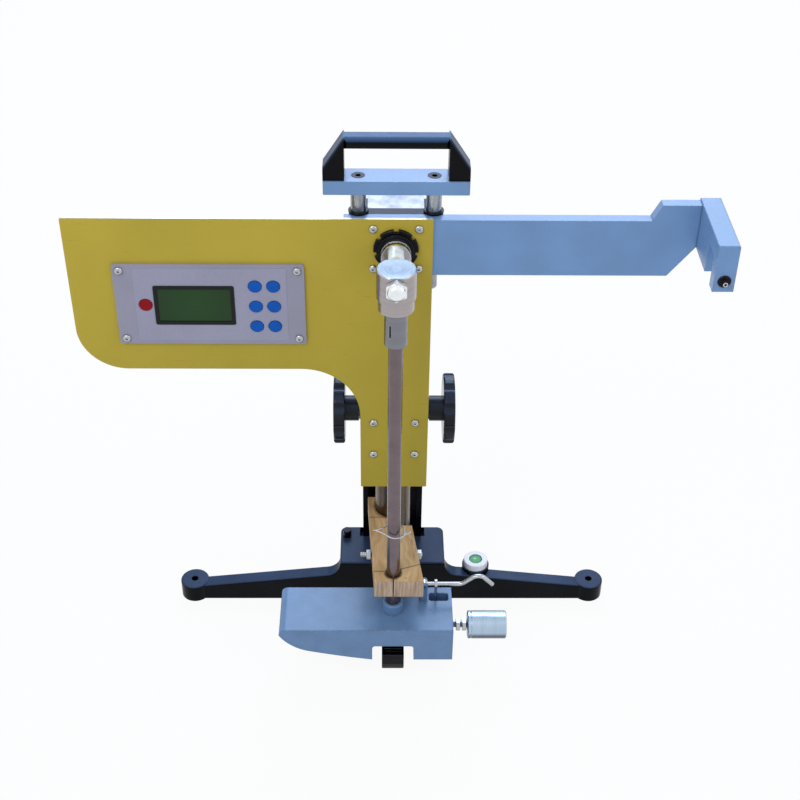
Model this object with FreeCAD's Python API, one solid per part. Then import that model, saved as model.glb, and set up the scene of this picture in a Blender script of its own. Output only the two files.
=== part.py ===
"""Pendulum skid resistance tester: a cast base and column, a lifting head with
a front panel, a bearing for the swinging arm, and a spring-loaded rubber slider.

The frame: X to the right seen from the front, Y to the back, Z up, millimetres.
The origin is on the column's axis, in the plane of the base's underside.
"""
import FreeCAD, Part
import math
import os

V = FreeCAD.Vector

# Fits between pieces
RUN_FIT = 0.05          # radial, shaft in its bore
SLIDE_FIT = 0.3         # between sliding or lifting faces
LOOSE_FIT = 1.0         # where a piece only passes through

# Pendulum: the distance that fixes the instrument's scale, and its plane
STRIKE_RADIUS = 508.0   # pivot to the slider's striking edge
SLIDER_GAP = 15.0       # striking edge above the base's underside, head as stored
ARM_Y = -115.5          # plane of the swinging arm, in front of the column
PIVOT_Z = STRIKE_RADIUS + SLIDER_GAP

# Base casting
BOSS_SPAN = 489.0       # between the two front levelling holes
BOSS_Y = -12.8
BOSS_R = 17.2
BOSS_H = 22.5
LEVEL_HOLE_R = 4.25     # tapped for a 10 mm levelling screw
CROSSBAR_FRONT = -24.8
CROSSBAR_T = 16.8
CROSSBAR_ROOT_H = 38.8
CROSSBAR_TIP_H = 20.0
BLOCK_W = 128.0
BLOCK_BACK = 42.0
BLOCK_H = 59.8
BLOCK_CORNER_R = 8.0
SHOULDER_R = 18.0       # concave blend from the crossbar up to the block
REAR_LEG_Y = 205.0
REAR_LEG_ROOT_W = 44.0
SOCKET_FLOOR = 12.0
EDGE_R = 2.5            # broken edges of the casting
BASE_BOLT_X = -56.0
BASE_BOLT_Y = 25.0
BASE_BOLT_L = 25.0
BASE_BOLT_HEAD_R = 5.2
BASE_BOLT_HEAD_H = 10.0

# Spirit level
LEVEL_X = 103.0
LEVEL_Y = -7.5
LEVEL_BOSS_R = 16.5
LEVEL_BOSS_H = 43.0
LEVEL_R = 14.6
LEVEL_H = 8.0
VIAL_R = 8.0
VIAL_FLOOR = 1.5
VIAL_SUNK = 0.6

# Column, rack and guide post
COLUMN_R = 21.0
COLUMN_HEADROOM = 5.0   # left under the head's roof when the head is lowest
RACK_W = 12.0
RACK_BOTTOM = 232.0
RACK_SEAT = 5.0         # depth of the flat that the strip lies on, in the column
GEAR_MODULE = 1.25
PINION_TEETH = 14
PRESSURE_ANGLE = 20.0
RACK_ADDENDUM = 1.0
BACKLASH = 0.12
RACK_LINE = -23.6       # y of the rack's pitch line
POST_W = 72.0
POST_T = 16.0
POST_FRONT = 24.0
POST_SHORT = 4.0        # post's top below the column's
POST_RIB = 7.0
POST_RECESS = 4.0
POST_POCKET = 8.0       # depth of the foot's pocket in the block
POST_POCKET_GAP = 4.0

# Head body
BODY_W = 74.0
BODY_BACK = -4.0
BODY_BOTTOM = 214.0
BODY_TOP = 554.0
BODY_ROOF = 9.0
HEAD_LIFT_DOWN = 10.0   # travel below the rest height
BODY_TOP_W = 57.0       # above the guide band, behind the catch arm
BODY_CORNER_R = 3.0
BRIDGE_W = 94.0
BRIDGE_BACK = -31.7
BRIDGE_H = 12.2
BAND_W = 88.0
BAND_BOTTOM = 452.0
BAND_H = 36.0
BAND_WALL = 11.0
BAND_CORNER_R = 9.0

# Front panel and its screws
PANEL_FRONT = -58.8
PANEL_T = 3.0
PANEL_LEFT = -331.0
PANEL_RIGHT = 37.0
PANEL_TOP = 556.5
PANEL_BOTTOM = 212.0
WING_BOTTOM = 375.5     # lower edge of the wing that carries the display
WING_CORNER_R = 50.0
WING_FILLET_R = 62.0
PANEL_SCREW_PITCH = 45.6
LOW_SCREW_Z = (303.5, 259.5)
SCREW_R = 2.5
SCREW_HEAD_R = 4.4
SCREW_HEAD_H = 2.6
SCREW_L = 16.0          # into the piece behind the panel

# Display
DISPLAY_W = 193.5
DISPLAY_H = 96.0
DISPLAY_LEFT = -285.8
DISPLAY_RISE = 34.1     # plate's lower edge above the panel's wing
DISPLAY_T = 3.0
DISPLAY_INSET = 7.2     # screw centres in from the plate's edges
WINDOW_INSET_X = 41.8   # window, from the plate's left edge
WINDOW_INSET_Z = 26.7   # window, above the plate's lower edge
WINDOW_KEY_GAP = 17.0   # from the window to the blue keys
WINDOW_H = 42.0
KEY_R = 6.8
KEY_TRAVEL = 0.5
KEY_PROUD = 1.5         # key face in front of the plate
BLUE_KEY_INSET_X = 31.8 # right column, from the plate's right edge
BLUE_KEY_PITCH_X = 18.6
BLUE_KEY_INSET_Z = 22.4 # lowest row, above the plate's lower edge
BLUE_KEY_PITCH_Z = 24.15
RED_KEY_INSET_X = 30.7  # from the plate's left edge
RED_KEY_RISE = 48.2     # above the plate's lower edge
COVER_DEPTH = 34.0
COVER_WALL = 2.0
COVER_INSET = 2.5
COVER_EDGE_R = 5.0
BOARD_INSET = 11.2
BOARD_T = 1.6
CHIP_SIDE = 16.0
CHIP_T = 3.0
CHIP_LEFT = 30.0        # left of the left blue keys
CELL_R = 7.0
CELL_L = 50.0
CELL_GAP = 1.0

# Catch arm and end block
BAR_T = 12.0
BAR_LEFT = -52.0
BAR_BOTTOM = 491.0
BAR_BEVEL_X = 275.0
BAR_BEVEL_Z = 525.0
BAR_STEP_X = 253.0
BAR_STEP_RUN = 9.0
BAR_RISE_TOP = 571.5
BLOCK_SCREW_L = 14.0    # into the bar
BLOCK_SCREW_DROP = 14.0 # upper screw, below the block's top
BLOCK_SCREW_PITCH = 20.0
CATCH_X = 300.8         # left face of the end block
CATCH_W = 20.6
CATCH_FRONT = -137.5
CATCH_BACK = -42.4
CATCH_TOP = 573.5
CATCH_DEPTH = 49.8
SLOT_FRONT = -124.5
SLOT_BACK = -100.2
SLOT_TOP = 556.0
PLUNGER_Z = 535.3
PLUNGER_R = 2.4
PLUNGER_OUT = 6.5       # in front of the block
PLUNGER_IN = 5.5        # into the slot, under the arm
PLUNGER_WALL = 1.0
BUSHING_R = 6.4
BUSHING_PROUD = 1.2

# Top plate and carrying handle
PILLAR_SPAN = 75.0
PILLAR_R = 7.8
PILLAR_Y = -38.0
PILLAR_H = 25.6
PILLAR_STUD = 10.0
TOP_W = 144.0
TOP_CORNER_R = 1.5
TOP_D = 28.0
TOP_T = 14.4
GRIP_W = 104.0
GRIP_T = 12.5
GRIP_D = 20.0
GRIP_R = 5.8            # edges of the grip, nearly a full round
HANDLE_H = 43.6
HANDLE_D = 24.0
HANDLE_EDGE_R = 4.0
HANDLE_SHOULDER = 13.0
FINGER_W = 102.0
CAP_SCREW_R = 4.0
CAP_SCREW_HEAD_R = 6.4
CAP_SCREW_HEAD_H = 6.0
HEX_ACROSS = 1.3        # socket's width in screw radii
HEX_FLOOR = 0.4         # socket's floor as a share of the head

# Hand wheels that raise the head
SHAFT_Z = 303.6
SHAFT_R = 5.0
WHEEL_R = 39.0
WHEEL_T = 12.4
WHEEL_HUB_R = 14.2
WHEEL_HUB_L = 15.0
WHEEL_WEB = 3.0         # closed face of the wheel beyond the shaft
WHEEL_PAD_H = 1.6       # machined pad on the head, under each wheel's hub
WHEEL_LOBES = 10
SCALLOP_R = 9.0
SCALLOP_DEPTH = 3.0
PINION_W = 11.0

# Lock knob behind the column
LOCK_R = 4.0
LOCK_KNOB_R = 17.0
LOCK_KNOB_T = 15.0
LOCK_SHANK = 10.0
LOCK_LOBES = 6
LOCK_SCALLOP_R = 7.0
LOCK_SCALLOP_DEPTH = 3.0
LOCK_BOSS_H = 4.0

# Bearing, spindle and hub
HOUSING_R = 18.0
HOUSING_REAR = -25.0
HOUSING_SEAT_R = 14.0
BEARING_W = 8.0
SPINDLE_R = 6.0
RING_R = 22.7
RING_T = 3.2
RING_NOTCHES = 7
RING_NOTCH_W = 5.0
RING_NOTCH_DEPTH = 2.8
HOUSING_PROUD = 1.8     # housing face in front of the ring
FLANGE_R = 15.0
FLANGE_FRONT = -77.5
HUB_R = 19.7
HUB_ABOVE = 11.7
HUB_BELOW = 19.5
COLLAR_R = 18.0
COLLAR_H = 14.6
NECK_R = 11.7
NECK_L = 42.0
NUT_ACROSS = 20.0
NUT_H = 12.0
NUT_FLAT = 1.5          # depth of the flat on the hub, under the nut
NUT_FLAT_ROOM = 3.0     # flat beyond the nut
NUT_BLIND = 5.0         # nut's closed end
SPIGOT_R = 8.7          # joins hub, collar and socket
SPIGOT_L = 6.0          # into the hub
SOCKET_SCREW_R = 1.8
SOCKET_SLOT_H = 14.0
SOCKET_SLOT_W = 1.6

# Arm and foot
ROD_R = 7.5
ROD_WALL = 2.0
ROD_IN_NECK = 30.0
FOOT_TOP = 74.0
FOOT_BOTTOM = 26.0
FOOT_LEFT = -131.0
FOOT_RIGHT = 69.0
FOOT_D = 69.4
FOOT_NOSE_R = 8.0       # over the nose, seen from the front
FOOT_NOSE_PLAN_R = 9.0  # round the nose, seen from above
FOOT_HEEL_RUN = 34.2    # behind the nose
FOOT_HEEL_RISE = 14.2   # above the foot's underside
FOOT_HEEL_SAG = 4.5     # bulge of the curve up to the nose
FOOT_SOLE_SAG = 0.8     # bulge of the sole
FOOT_BORE_DEPTH = 14.0  # seat of the arm tube below the top
FOOT_EDGE_R = 4.0
NOTCH_W = 48.0
NOTCH_TOP = 48.0
NOTCH_R = 4.0
FOOT_BOSS_R = 11.5
FOOT_BOSS_H = 14.0
FOOT_SLOT_X = 42.0
FOOT_SLOT_L = 23.0
FOOT_SLOT_W = 12.8
FOOT_SLOT_Y = -96.4

# Slider and its arm
SLIDER_W = 25.4
PAD_CHAMFER = 1.2
BRIDGE_INSET = 3.0      # holder's side bridge, in from the pad's edges
SLIDER_L = 76.2
SLIDER_T = 6.35
SLIDER_ARM_PIN_X = 60.0
SLIDER_ARM_PIN_Z = 40.0
SLIDER_ARM_W = 17.0
SLIDER_ARM_T = 6.0
SLIDER_ARM_ROOM = 7.0   # free height below and twice above the arm's middle
ARM_PIN_R = 2.5
ARM_PIN_BLIND = 6.0     # foot's wall in front of the pin
SPRING_X = 36.0
SPRING_R = 4.5

# Lifting lever
LEVER_R = 2.4
LEVER_PIN_X = 36.0
LEVER_Z = 95.4
LEVER_ELBOW_X = 80.0
LEVER_TIP_X = 116.0
LEVER_RISE = 12.5
LEVER_BEND_R = 10.0
LEVER_FORK_GAP = 7.0
FORK_T = 2.8
FORK_R = 4.2
LEVER_EYE_R = 4.6
PULL_X = 50.0
PULL_PIN_R = 1.6
PULL_EYE_R = 5.4
PULL_EYE_T = 3.0

# Balance weight
STUD_R = 3.5
STUD_Z = 48.0
STUD_IN = 10.0
NUT_T = 5.0
NUT_R = 7.5
NUT_X = (74.0, 81.0)
WEIGHT_X = 87.0
WEIGHT_L = 45.5
WEIGHT_R = 16.3

# Transit clamp: two hardwood halves bolted round the column and the arm
CLAMP_TOP = 131.0
CLAMP_T = 24.0
CLAMP_FRONT = -129.0
CLAMP_LEFT_W_FRONT = 21.5   # left half, from the slit's middle
CLAMP_LEFT_W_BACK = 30.0
CLAMP_LEFT_BACK = 16.0      # left half goes past the column
CLAMP_RIGHT_W_FRONT = 34.3  # right half, from the slit's middle
CLAMP_RIGHT_W_BACK = 22.5
CLAMP_RIGHT_BACK = -35.0    # right half stops short of the column
CLAMP_SLIT = 1.5
CLAMP_BOLT_Y = -72.0
CLAMP_BOLT_R = 3.0
CLAMP_BOLT_OUT = 13.0
CLAMP_NUT_T = 5.0
CLAMP_NUT_ACROSS = 10.0
CLAMP_STUD_END = 2.0    # beyond the right nut


def box(x0, x1, y0, y1, z0, z1):
    """A block between two corners."""
    return Part.makeBox(x1 - x0, y1 - y0, z1 - z0, V(x0, y0, z0))


def rod(r, start, end):
    """A round bar of radius r from one point to another."""
    a, b = V(*start), V(*end)
    return Part.makeCylinder(r, (b - a).Length, a, b - a)


def tube(r_out, r_in, start, end):
    return rod(r_out, start, end).cut(rod(r_in, start, end))


def extrude_xz(points, y0, y1):
    """A flat outline of lines and arcs in the XZ plane, extruded along Y.

    A point of three pairs is an arc from the last point, through its middle pair.
    """
    edges = []
    here = points[0]
    for step in list(points[1:]) + [points[0]]:
        if isinstance(step[0], tuple):
            mid, end = step
            through = [V(x, y0, z) for x, z in (here[:2], mid[:2], end[:2])]
            edges.append(Part.Arc(*through).toShape())
            here = end
        elif math.dist(here, step) > 1e-6:
            edges.append(Part.LineSegment(V(here[0], y0, here[1]), V(step[0], y0, step[1])).toShape())
            here = step
    return Part.Face(Part.Wire(edges)).extrude(V(0, y1 - y0, 0))


def arc_to(centre, radius, start_deg, end_deg):
    """Middle and end point of an arc in the XZ plane, for extrude_xz."""
    def at(deg):
        a = math.radians(deg)
        return (centre[0] + radius * math.cos(a), centre[1] + radius * math.sin(a))
    return (at((start_deg + end_deg) / 2), at(end_deg))


def edges_where(shape, test):
    """Edges whose every point passes the test."""
    return [e for e in shape.Edges if all(test(v.Point) for v in e.Vertexes)
            and test(e.valueAt((e.FirstParameter + e.LastParameter) / 2))]


def rounded(shape, radius, test):
    chosen = edges_where(shape, test)
    return shape.makeFillet(radius, chosen) if chosen else shape


def hexagon(across, start, end):
    """A hexagonal bar, across its flats, along any axis."""
    a, b = V(*start), V(*end)
    axis = (b - a).normalize()
    side = V(0, 0, 1) if abs(axis.z) < 0.9 else V(1, 0, 0)
    corner = side.multiply(across / math.sqrt(3))
    ring = []
    for i in range(6):
        turn = FreeCAD.Rotation(axis, 60 * i)
        ring.append(a + turn.multVec(corner))
    face = Part.Face(Part.makePolygon(ring + [ring[0]]))
    return face.extrude(V(*end) - V(*start))


def fuse(shapes):
    out = shapes[0].fuse(list(shapes[1:])) if len(shapes) > 1 else shapes[0]
    return out.removeSplitter()


def cut(shape, tools):
    return shape.cut(fuse_group(tools))


def fuse_group(shapes):
    return shapes[0].fuse(list(shapes[1:])) if len(shapes) > 1 else shapes[0]


def dome_screw(at, outward, shank):
    """A dome-head screw whose head sits on a face."""
    p, n = V(*at), V(*outward).normalize()
    head = Part.makeCylinder(SCREW_HEAD_R, SCREW_HEAD_H, p, n)
    rim = edges_where(head, lambda q: (q - p).dot(n) > SCREW_HEAD_H - 1e-3)
    head = head.makeFillet(SCREW_HEAD_H * 0.8, rim)
    socket = hexagon(SCREW_R * 1.1, tuple(p + n * (SCREW_HEAD_H * 0.45)), tuple(p + n * (SCREW_HEAD_H + 1)))
    return head.cut(socket).fuse(Part.makeCylinder(SCREW_R, shank, p, n * -1))


def cap_screw(at, outward, shank):
    """A socket cap screw whose head sits on a face."""
    p, n = V(*at), V(*outward).normalize()
    head = Part.makeCylinder(CAP_SCREW_HEAD_R, CAP_SCREW_HEAD_H, p, n)
    floor, above = p + n * (CAP_SCREW_HEAD_H * HEX_FLOOR), p + n * (CAP_SCREW_HEAD_H + 1)
    socket = hexagon(CAP_SCREW_R * HEX_ACROSS, tuple(floor), tuple(above))
    return head.cut(socket).fuse(Part.makeCylinder(CAP_SCREW_R, shank, p, n * -1))


# Places that follow from the driving sizes
PANEL_BACK = PANEL_FRONT + PANEL_T
HOUSING_FRONT = PANEL_FRONT - RING_T - HOUSING_PROUD
BAR_BACK = PANEL_BACK + BAR_T
BODY_FRONT = PANEL_BACK
POST_BACK = POST_FRONT + POST_T
COLUMN_TOP = BODY_TOP - BODY_ROOF - HEAD_LIFT_DOWN - COLUMN_HEADROOM
POST_TOP = COLUMN_TOP - POST_SHORT
RACK_BACK = -COLUMN_R + RACK_SEAT
RACK_TIP = RACK_LINE - RACK_ADDENDUM
PINION_PITCH_R = GEAR_MODULE * PINION_TEETH / 2
SHAFT_Y = RACK_LINE - PINION_PITCH_R
FOOT_BACK = ARM_Y + FOOT_D / 2
FOOT_FRONT = ARM_Y - FOOT_D / 2
FOOT_BOSS_TOP = FOOT_TOP + FOOT_BOSS_H
HUB_BOTTOM = PIVOT_Z - HUB_BELOW
COLLAR_BOTTOM = HUB_BOTTOM - COLLAR_H
NECK_BOTTOM = COLLAR_BOTTOM - NECK_L
DISPLAY_FRONT = PANEL_FRONT - DISPLAY_T
DISPLAY_RIGHT = DISPLAY_LEFT + DISPLAY_W
DISPLAY_BOTTOM = WING_BOTTOM + DISPLAY_RISE
DISPLAY_TOP = DISPLAY_BOTTOM + DISPLAY_H
WINDOW_LEFT = DISPLAY_LEFT + WINDOW_INSET_X
WINDOW_W = DISPLAY_W - WINDOW_INSET_X - WINDOW_KEY_GAP - KEY_R - BLUE_KEY_PITCH_X - BLUE_KEY_INSET_X
WINDOW_BOTTOM = DISPLAY_BOTTOM + WINDOW_INSET_Z
TOP_BOTTOM = BODY_TOP + PILLAR_H
TOP_TOP = TOP_BOTTOM + TOP_T
HANDLE_TOP = TOP_TOP + HANDLE_H
CATCH_BOTTOM = CATCH_TOP - CATCH_DEPTH
CATCH_MID = CATCH_X + CATCH_W / 2
BAND_BACK = POST_BACK + SLIDE_FIT + BAND_WALL
LOCK_Z = BAND_BOTTOM + BAND_H / 2
CLAMP_BOTTOM = CLAMP_TOP - CLAMP_T
CLAMP_MID = CLAMP_TOP - CLAMP_T / 2
WHEEL_NEAR = BODY_W / 2 + WHEEL_PAD_H + SLIDE_FIT


# Base

def level_points():
    return [(-BOSS_SPAN / 2, BOSS_Y), (BOSS_SPAN / 2, BOSS_Y), (0, REAR_LEG_Y)]


def crossbar():
    """The front bar: level arms that thicken inwards and sweep up to the block."""
    tip = BOSS_SPAN / 2
    root = BLOCK_W / 2 + SHOULDER_R
    s = SHOULDER_R
    up = CROSSBAR_ROOT_H + s
    right = arc_to((root, up), s, 270, 180)
    left = arc_to((-root, up), s, 360, 270)
    bar = extrude_xz([(-tip, 0), (tip, 0), (tip, CROSSBAR_TIP_H), (root, CROSSBAR_ROOT_H), right,
                      (-root + s, up), left, (-tip, CROSSBAR_TIP_H)],
                      CROSSBAR_FRONT, CROSSBAR_FRONT + CROSSBAR_T)
    mid, half = CROSSBAR_FRONT + CROSSBAR_T / 2, CROSSBAR_T / 2
    return rounded(bar, EDGE_R * 0.6, lambda p: p.z > CROSSBAR_TIP_H - 1 and abs(p.y - mid) > half - 1e-3)


def rear_leg():
    """The leg behind the block, tapering in width and height to its boss."""
    def section(y, w, h):
        half = w / 2
        corners = [V(-half, y, 0), V(half, y, 0), V(half, y, h), V(-half, y, h)]
        return Part.makePolygon(corners + corners[:1])
    near = section(BLOCK_BACK - 5, REAR_LEG_ROOT_W, CROSSBAR_ROOT_H)
    far = section(REAR_LEG_Y, CROSSBAR_T * 1.2, CROSSBAR_TIP_H)
    return Part.makeLoft([near, far], True, True)


def base_casting():
    half = BLOCK_W / 2
    block = box(-half, half, CROSSBAR_FRONT, BLOCK_BACK, 0, BLOCK_H)
    block = rounded(block, BLOCK_CORNER_R, lambda p: p.y > BLOCK_BACK - 1e-3 and abs(p.x) > half - 1e-3)
    block = rounded(block, EDGE_R, lambda p: p.z > BLOCK_H - 1e-3)
    bosses = [rounded(rod(BOSS_R, (x, y, 0), (x, y, BOSS_H)), EDGE_R * 0.6, lambda p: p.z > BOSS_H - 1e-3)
              for x, y in level_points()]
    seat = rod(LEVEL_BOSS_R, (LEVEL_X, LEVEL_Y, 0), (LEVEL_X, LEVEL_Y, LEVEL_BOSS_H))
    body = fuse([block, crossbar(), rear_leg(), seat] + bosses)
    pocket = box(-POST_W / 2 - POST_POCKET_GAP, POST_W / 2 + POST_POCKET_GAP, POST_FRONT,
                 POST_BACK, BLOCK_H - POST_POCKET, BLOCK_H + 1)
    socket = rod(COLUMN_R, (0, 0, SOCKET_FLOOR), (0, 0, BLOCK_H + 1))
    holes = [rod(LEVEL_HOLE_R, (x, y, -1), (x, y, BOSS_H + 1)) for x, y in level_points()]
    return cut(body, [pocket, socket, base_bolt_shank(BLOCK_H + 1)] + holes)


def base_bolt_shank(top):
    foot = (BASE_BOLT_X, BASE_BOLT_Y, BLOCK_H - BASE_BOLT_L)
    return rod(CAP_SCREW_R, foot, (BASE_BOLT_X, BASE_BOLT_Y, top))


def base_bolt():
    """The tall-headed bolt that pinches the column's socket."""
    top = BLOCK_H + BASE_BOLT_HEAD_H
    head = rod(BASE_BOLT_HEAD_R, (BASE_BOLT_X, BASE_BOLT_Y, BLOCK_H), (BASE_BOLT_X, BASE_BOLT_Y, top))
    head = rounded(head, 0.8, lambda p: p.z > top - 1e-3)
    return fuse([head, base_bolt_shank(BLOCK_H)])


def level_housing():
    z0, z1 = LEVEL_BOSS_H, LEVEL_BOSS_H + LEVEL_H
    ring = rod(LEVEL_R, (LEVEL_X, LEVEL_Y, z0), (LEVEL_X, LEVEL_Y, z1))
    ring = rounded(ring, 1.2, lambda p: p.z > z1 - 1e-3)
    return ring.cut(rod(VIAL_R, (LEVEL_X, LEVEL_Y, z0 + VIAL_FLOOR), (LEVEL_X, LEVEL_Y, z1 + 1)))


def level_vial():
    z0, z1 = LEVEL_BOSS_H + VIAL_FLOOR, LEVEL_BOSS_H + LEVEL_H - VIAL_SUNK
    return rod(VIAL_R, (LEVEL_X, LEVEL_Y, z0), (LEVEL_X, LEVEL_Y, z1))


# Column, rack and post

def rack_groove(gap):
    w = RACK_W / 2 + gap
    return box(-w, w, -COLUMN_R - 1, RACK_BACK + gap, RACK_BOTTOM - gap, COLUMN_TOP + 1)


def column():
    bar = rod(COLUMN_R, (0, 0, SOCKET_FLOOR), (0, 0, COLUMN_TOP))
    bar = bar.makeChamfer(1.5, edges_where(bar, lambda p: p.z > COLUMN_TOP - 1e-3))
    return bar.cut(rack_groove(0))


def column_rack():
    """A toothed strip let into the front of the column, teeth towards the pinion."""
    pitch = math.pi * GEAR_MODULE
    lean = math.tan(math.radians(PRESSURE_ANGLE))
    root = RACK_LINE + GEAR_MODULE * 1.2
    back = RACK_BACK
    first = math.ceil((RACK_BOTTOM + pitch - SHAFT_Z) / pitch)
    last = math.floor((COLUMN_TOP - pitch - SHAFT_Z) / pitch)
    half = pitch / 4 - BACKLASH
    outline = [V(0, back, RACK_BOTTOM), V(0, root, RACK_BOTTOM)]
    for i in range(first, last + 1):
        z = SHAFT_Z + i * pitch
        deep = half + (root - RACK_LINE) * lean
        tip = half - RACK_ADDENDUM * lean
        tooth = ((root, -deep), (RACK_TIP, -tip), (RACK_TIP, tip), (root, deep))
        outline += [V(0, y, z + rise) for y, rise in tooth]
    outline += [V(0, root, COLUMN_TOP), V(0, back, COLUMN_TOP), V(0, back, RACK_BOTTOM)]
    face = Part.Face(Part.makePolygon(outline))
    face.translate(V(-RACK_W / 2, 0, 0))
    return face.extrude(V(RACK_W, 0, 0))


def guide_post():
    half = POST_W / 2
    post = box(-half, half, POST_FRONT, POST_BACK, BLOCK_H - POST_POCKET, POST_TOP)
    inner = half - POST_RIB
    recess = box(-inner, inner, POST_FRONT - 1, POST_FRONT + POST_RECESS, BLOCK_H + POST_RIB, POST_TOP + 1)
    return post.cut(recess)


# Head

def housing_bore(r, y0, y1):
    return rod(r, (0, y0, PIVOT_Z), (0, y1, PIVOT_Z))


def panel_screw_places():
    half = PANEL_SCREW_PITCH / 2
    upper = [(sx * half, PIVOT_Z + sz * half) for sz in (1, -1) for sx in (-1, 1)]
    lower = [(sx * half, z) for z in LOW_SCREW_Z for sx in (-1, 1)]
    return upper + lower


def head_body():
    """The casting that slides on the column: a front box and a band round the post."""
    half = BODY_W / 2
    front = box(-half, half, BODY_FRONT, BODY_BACK, BODY_BOTTOM, BAND_BOTTOM + BAND_H)
    front = rounded(front, BODY_CORNER_R, lambda p: p.y > BODY_BACK - 1e-3 and abs(p.x) > half - 1e-3)
    top_half = BODY_TOP_W / 2
    upper = box(-top_half, top_half, BODY_FRONT, BODY_BACK, BAND_BOTTOM, BODY_TOP)
    upper = rounded(upper, BODY_CORNER_R, lambda p: p.y > BODY_BACK - 1e-3 and abs(p.x) > top_half - 1e-3)
    side = BAND_W / 2
    band = box(-side, side, -COLUMN_R, BAND_BACK, BAND_BOTTOM, BAND_BOTTOM + BAND_H)
    band = rounded(band, BAND_CORNER_R, lambda p: abs(p.x) > side - 1e-3
                   and (p.y > BAND_BACK - 1e-3 or p.y < -COLUMN_R + 1e-3))
    pads = [rod(WHEEL_HUB_R - 2, (s * half, SHAFT_Y, SHAFT_Z), (s * (half + WHEEL_PAD_H), SHAFT_Y, SHAFT_Z))
            for s in (-1, 1)]
    body = fuse([front, upper, band] + pads)
    roof = BODY_TOP - BODY_ROOF
    gap = SLIDE_FIT
    bore = rod(COLUMN_R + gap, (0, 0, BODY_BOTTOM - 1), (0, 0, roof))
    rack_half = RACK_W / 2 + LOOSE_FIT
    relief = box(-rack_half, rack_half, RACK_TIP - LOOSE_FIT, 0, BODY_BOTTOM - 1, roof)
    post_half = POST_W / 2 + gap
    post_slot = box(-post_half, post_half, POST_FRONT - gap, POST_BACK + gap,
                    BAND_BOTTOM - 1, BAND_BOTTOM + BAND_H + 1)
    bar_seat = box(-half - 1, half + 1, BODY_FRONT - 1, BAR_BACK, BAR_BOTTOM, BODY_TOP + 1)
    gear_half = PINION_W / 2 + LOOSE_FIT
    gear_r = PINION_PITCH_R + GEAR_MODULE + LOOSE_FIT
    gear_room = rod(gear_r, (-gear_half, SHAFT_Y, SHAFT_Z), (gear_half, SHAFT_Y, SHAFT_Z))
    shaft_bore = rod(SHAFT_R + RUN_FIT, (-WHEEL_NEAR, SHAFT_Y, SHAFT_Z), (WHEEL_NEAR, SHAFT_Y, SHAFT_Z))
    lock_bore = rod(LOCK_R + RUN_FIT, (0, POST_BACK, LOCK_Z), (0, BAND_BACK + 1, LOCK_Z))
    bridge_seat = box(-half, half, BAR_BACK - 1, BRIDGE_BACK, BODY_TOP - BRIDGE_H, BODY_TOP + 1)
    tools = [bore, relief, post_slot, bar_seat, bridge_seat, gear_room, shaft_bore, lock_bore,
             housing_bore(HOUSING_R, BAR_BACK - 1, HOUSING_REAR)]
    for x, z in panel_screw_places():
        tools.append(rod(SCREW_R, (x, BODY_FRONT - 1, z), (x, BODY_FRONT + SCREW_L, z)))
    return cut(body, tools)


def head_bridge():
    """The black bar behind the catch arm, which carries the handle's pillars."""
    w = BRIDGE_W / 2
    bar = box(-w, w, BAR_BACK, BRIDGE_BACK, BODY_TOP - BRIDGE_H, BODY_TOP)
    tools = [rod(CAP_SCREW_R, (x, PILLAR_Y, BODY_TOP - PILLAR_STUD), (x, PILLAR_Y, BODY_TOP + 1))
             for x in pillar_places()]
    tools += [rod(SCREW_R, (x, BAR_BACK - 1, z), (x, BODY_FRONT + SCREW_L, z))
              for x, z in panel_screw_places()[:2]]
    return cut(bar, tools)


def pillar_places():
    return [-PILLAR_SPAN / 2, PILLAR_SPAN / 2]


def front_panel():
    """The flat sheet: a wing to the left and a tall strip down the head."""
    r, f = WING_CORNER_R, WING_FILLET_R
    strip = -PANEL_RIGHT
    corner = arc_to((PANEL_LEFT + r, WING_BOTTOM + r), r, 180, 270)
    fillet = arc_to((strip - f, WING_BOTTOM - f), f, 90, 0)
    plate = extrude_xz([(PANEL_LEFT, PANEL_TOP), (PANEL_LEFT, WING_BOTTOM + r), corner,
                        (strip - f, WING_BOTTOM), fillet, (strip, PANEL_BOTTOM), (PANEL_RIGHT, PANEL_BOTTOM),
                        (PANEL_RIGHT, PANEL_TOP)], PANEL_FRONT, PANEL_BACK)
    plate = rounded(plate, 2, lambda p: p.z > PANEL_TOP - 1e-3
                    and min(abs(p.x - PANEL_LEFT), abs(p.x - PANEL_RIGHT)) < 1e-3)
    tools = [housing_bore(HOUSING_R, PANEL_FRONT - 1, PANEL_BACK + 1)]
    tools += [rod(SCREW_R, (x, PANEL_FRONT - 1, z), (x, PANEL_BACK + 1, z))
              for x, z in panel_screw_places() + display_screw_places()]
    tools.append(window_box(PANEL_FRONT - 1, PANEL_BACK + 1))
    return cut(plate, tools)


def panel_screws():
    """The eight dome screws of the panel and the four of the display plate."""
    screws = [dome_screw((x, PANEL_FRONT, z), (0, -1, 0), PANEL_T + SCREW_L) for x, z in panel_screw_places()]
    screws += [dome_screw((x, DISPLAY_FRONT, z), (0, -1, 0), DISPLAY_T + PANEL_T)
               for x, z in display_screw_places()]
    return Part.Compound(screws)


# Display

def display_screw_places():
    lo, hi = DISPLAY_LEFT + DISPLAY_INSET, DISPLAY_RIGHT - DISPLAY_INSET
    bot, top = DISPLAY_BOTTOM + DISPLAY_INSET, DISPLAY_TOP - DISPLAY_INSET
    return [(x, z) for z in (top, bot) for x in (lo, hi)]


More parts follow.
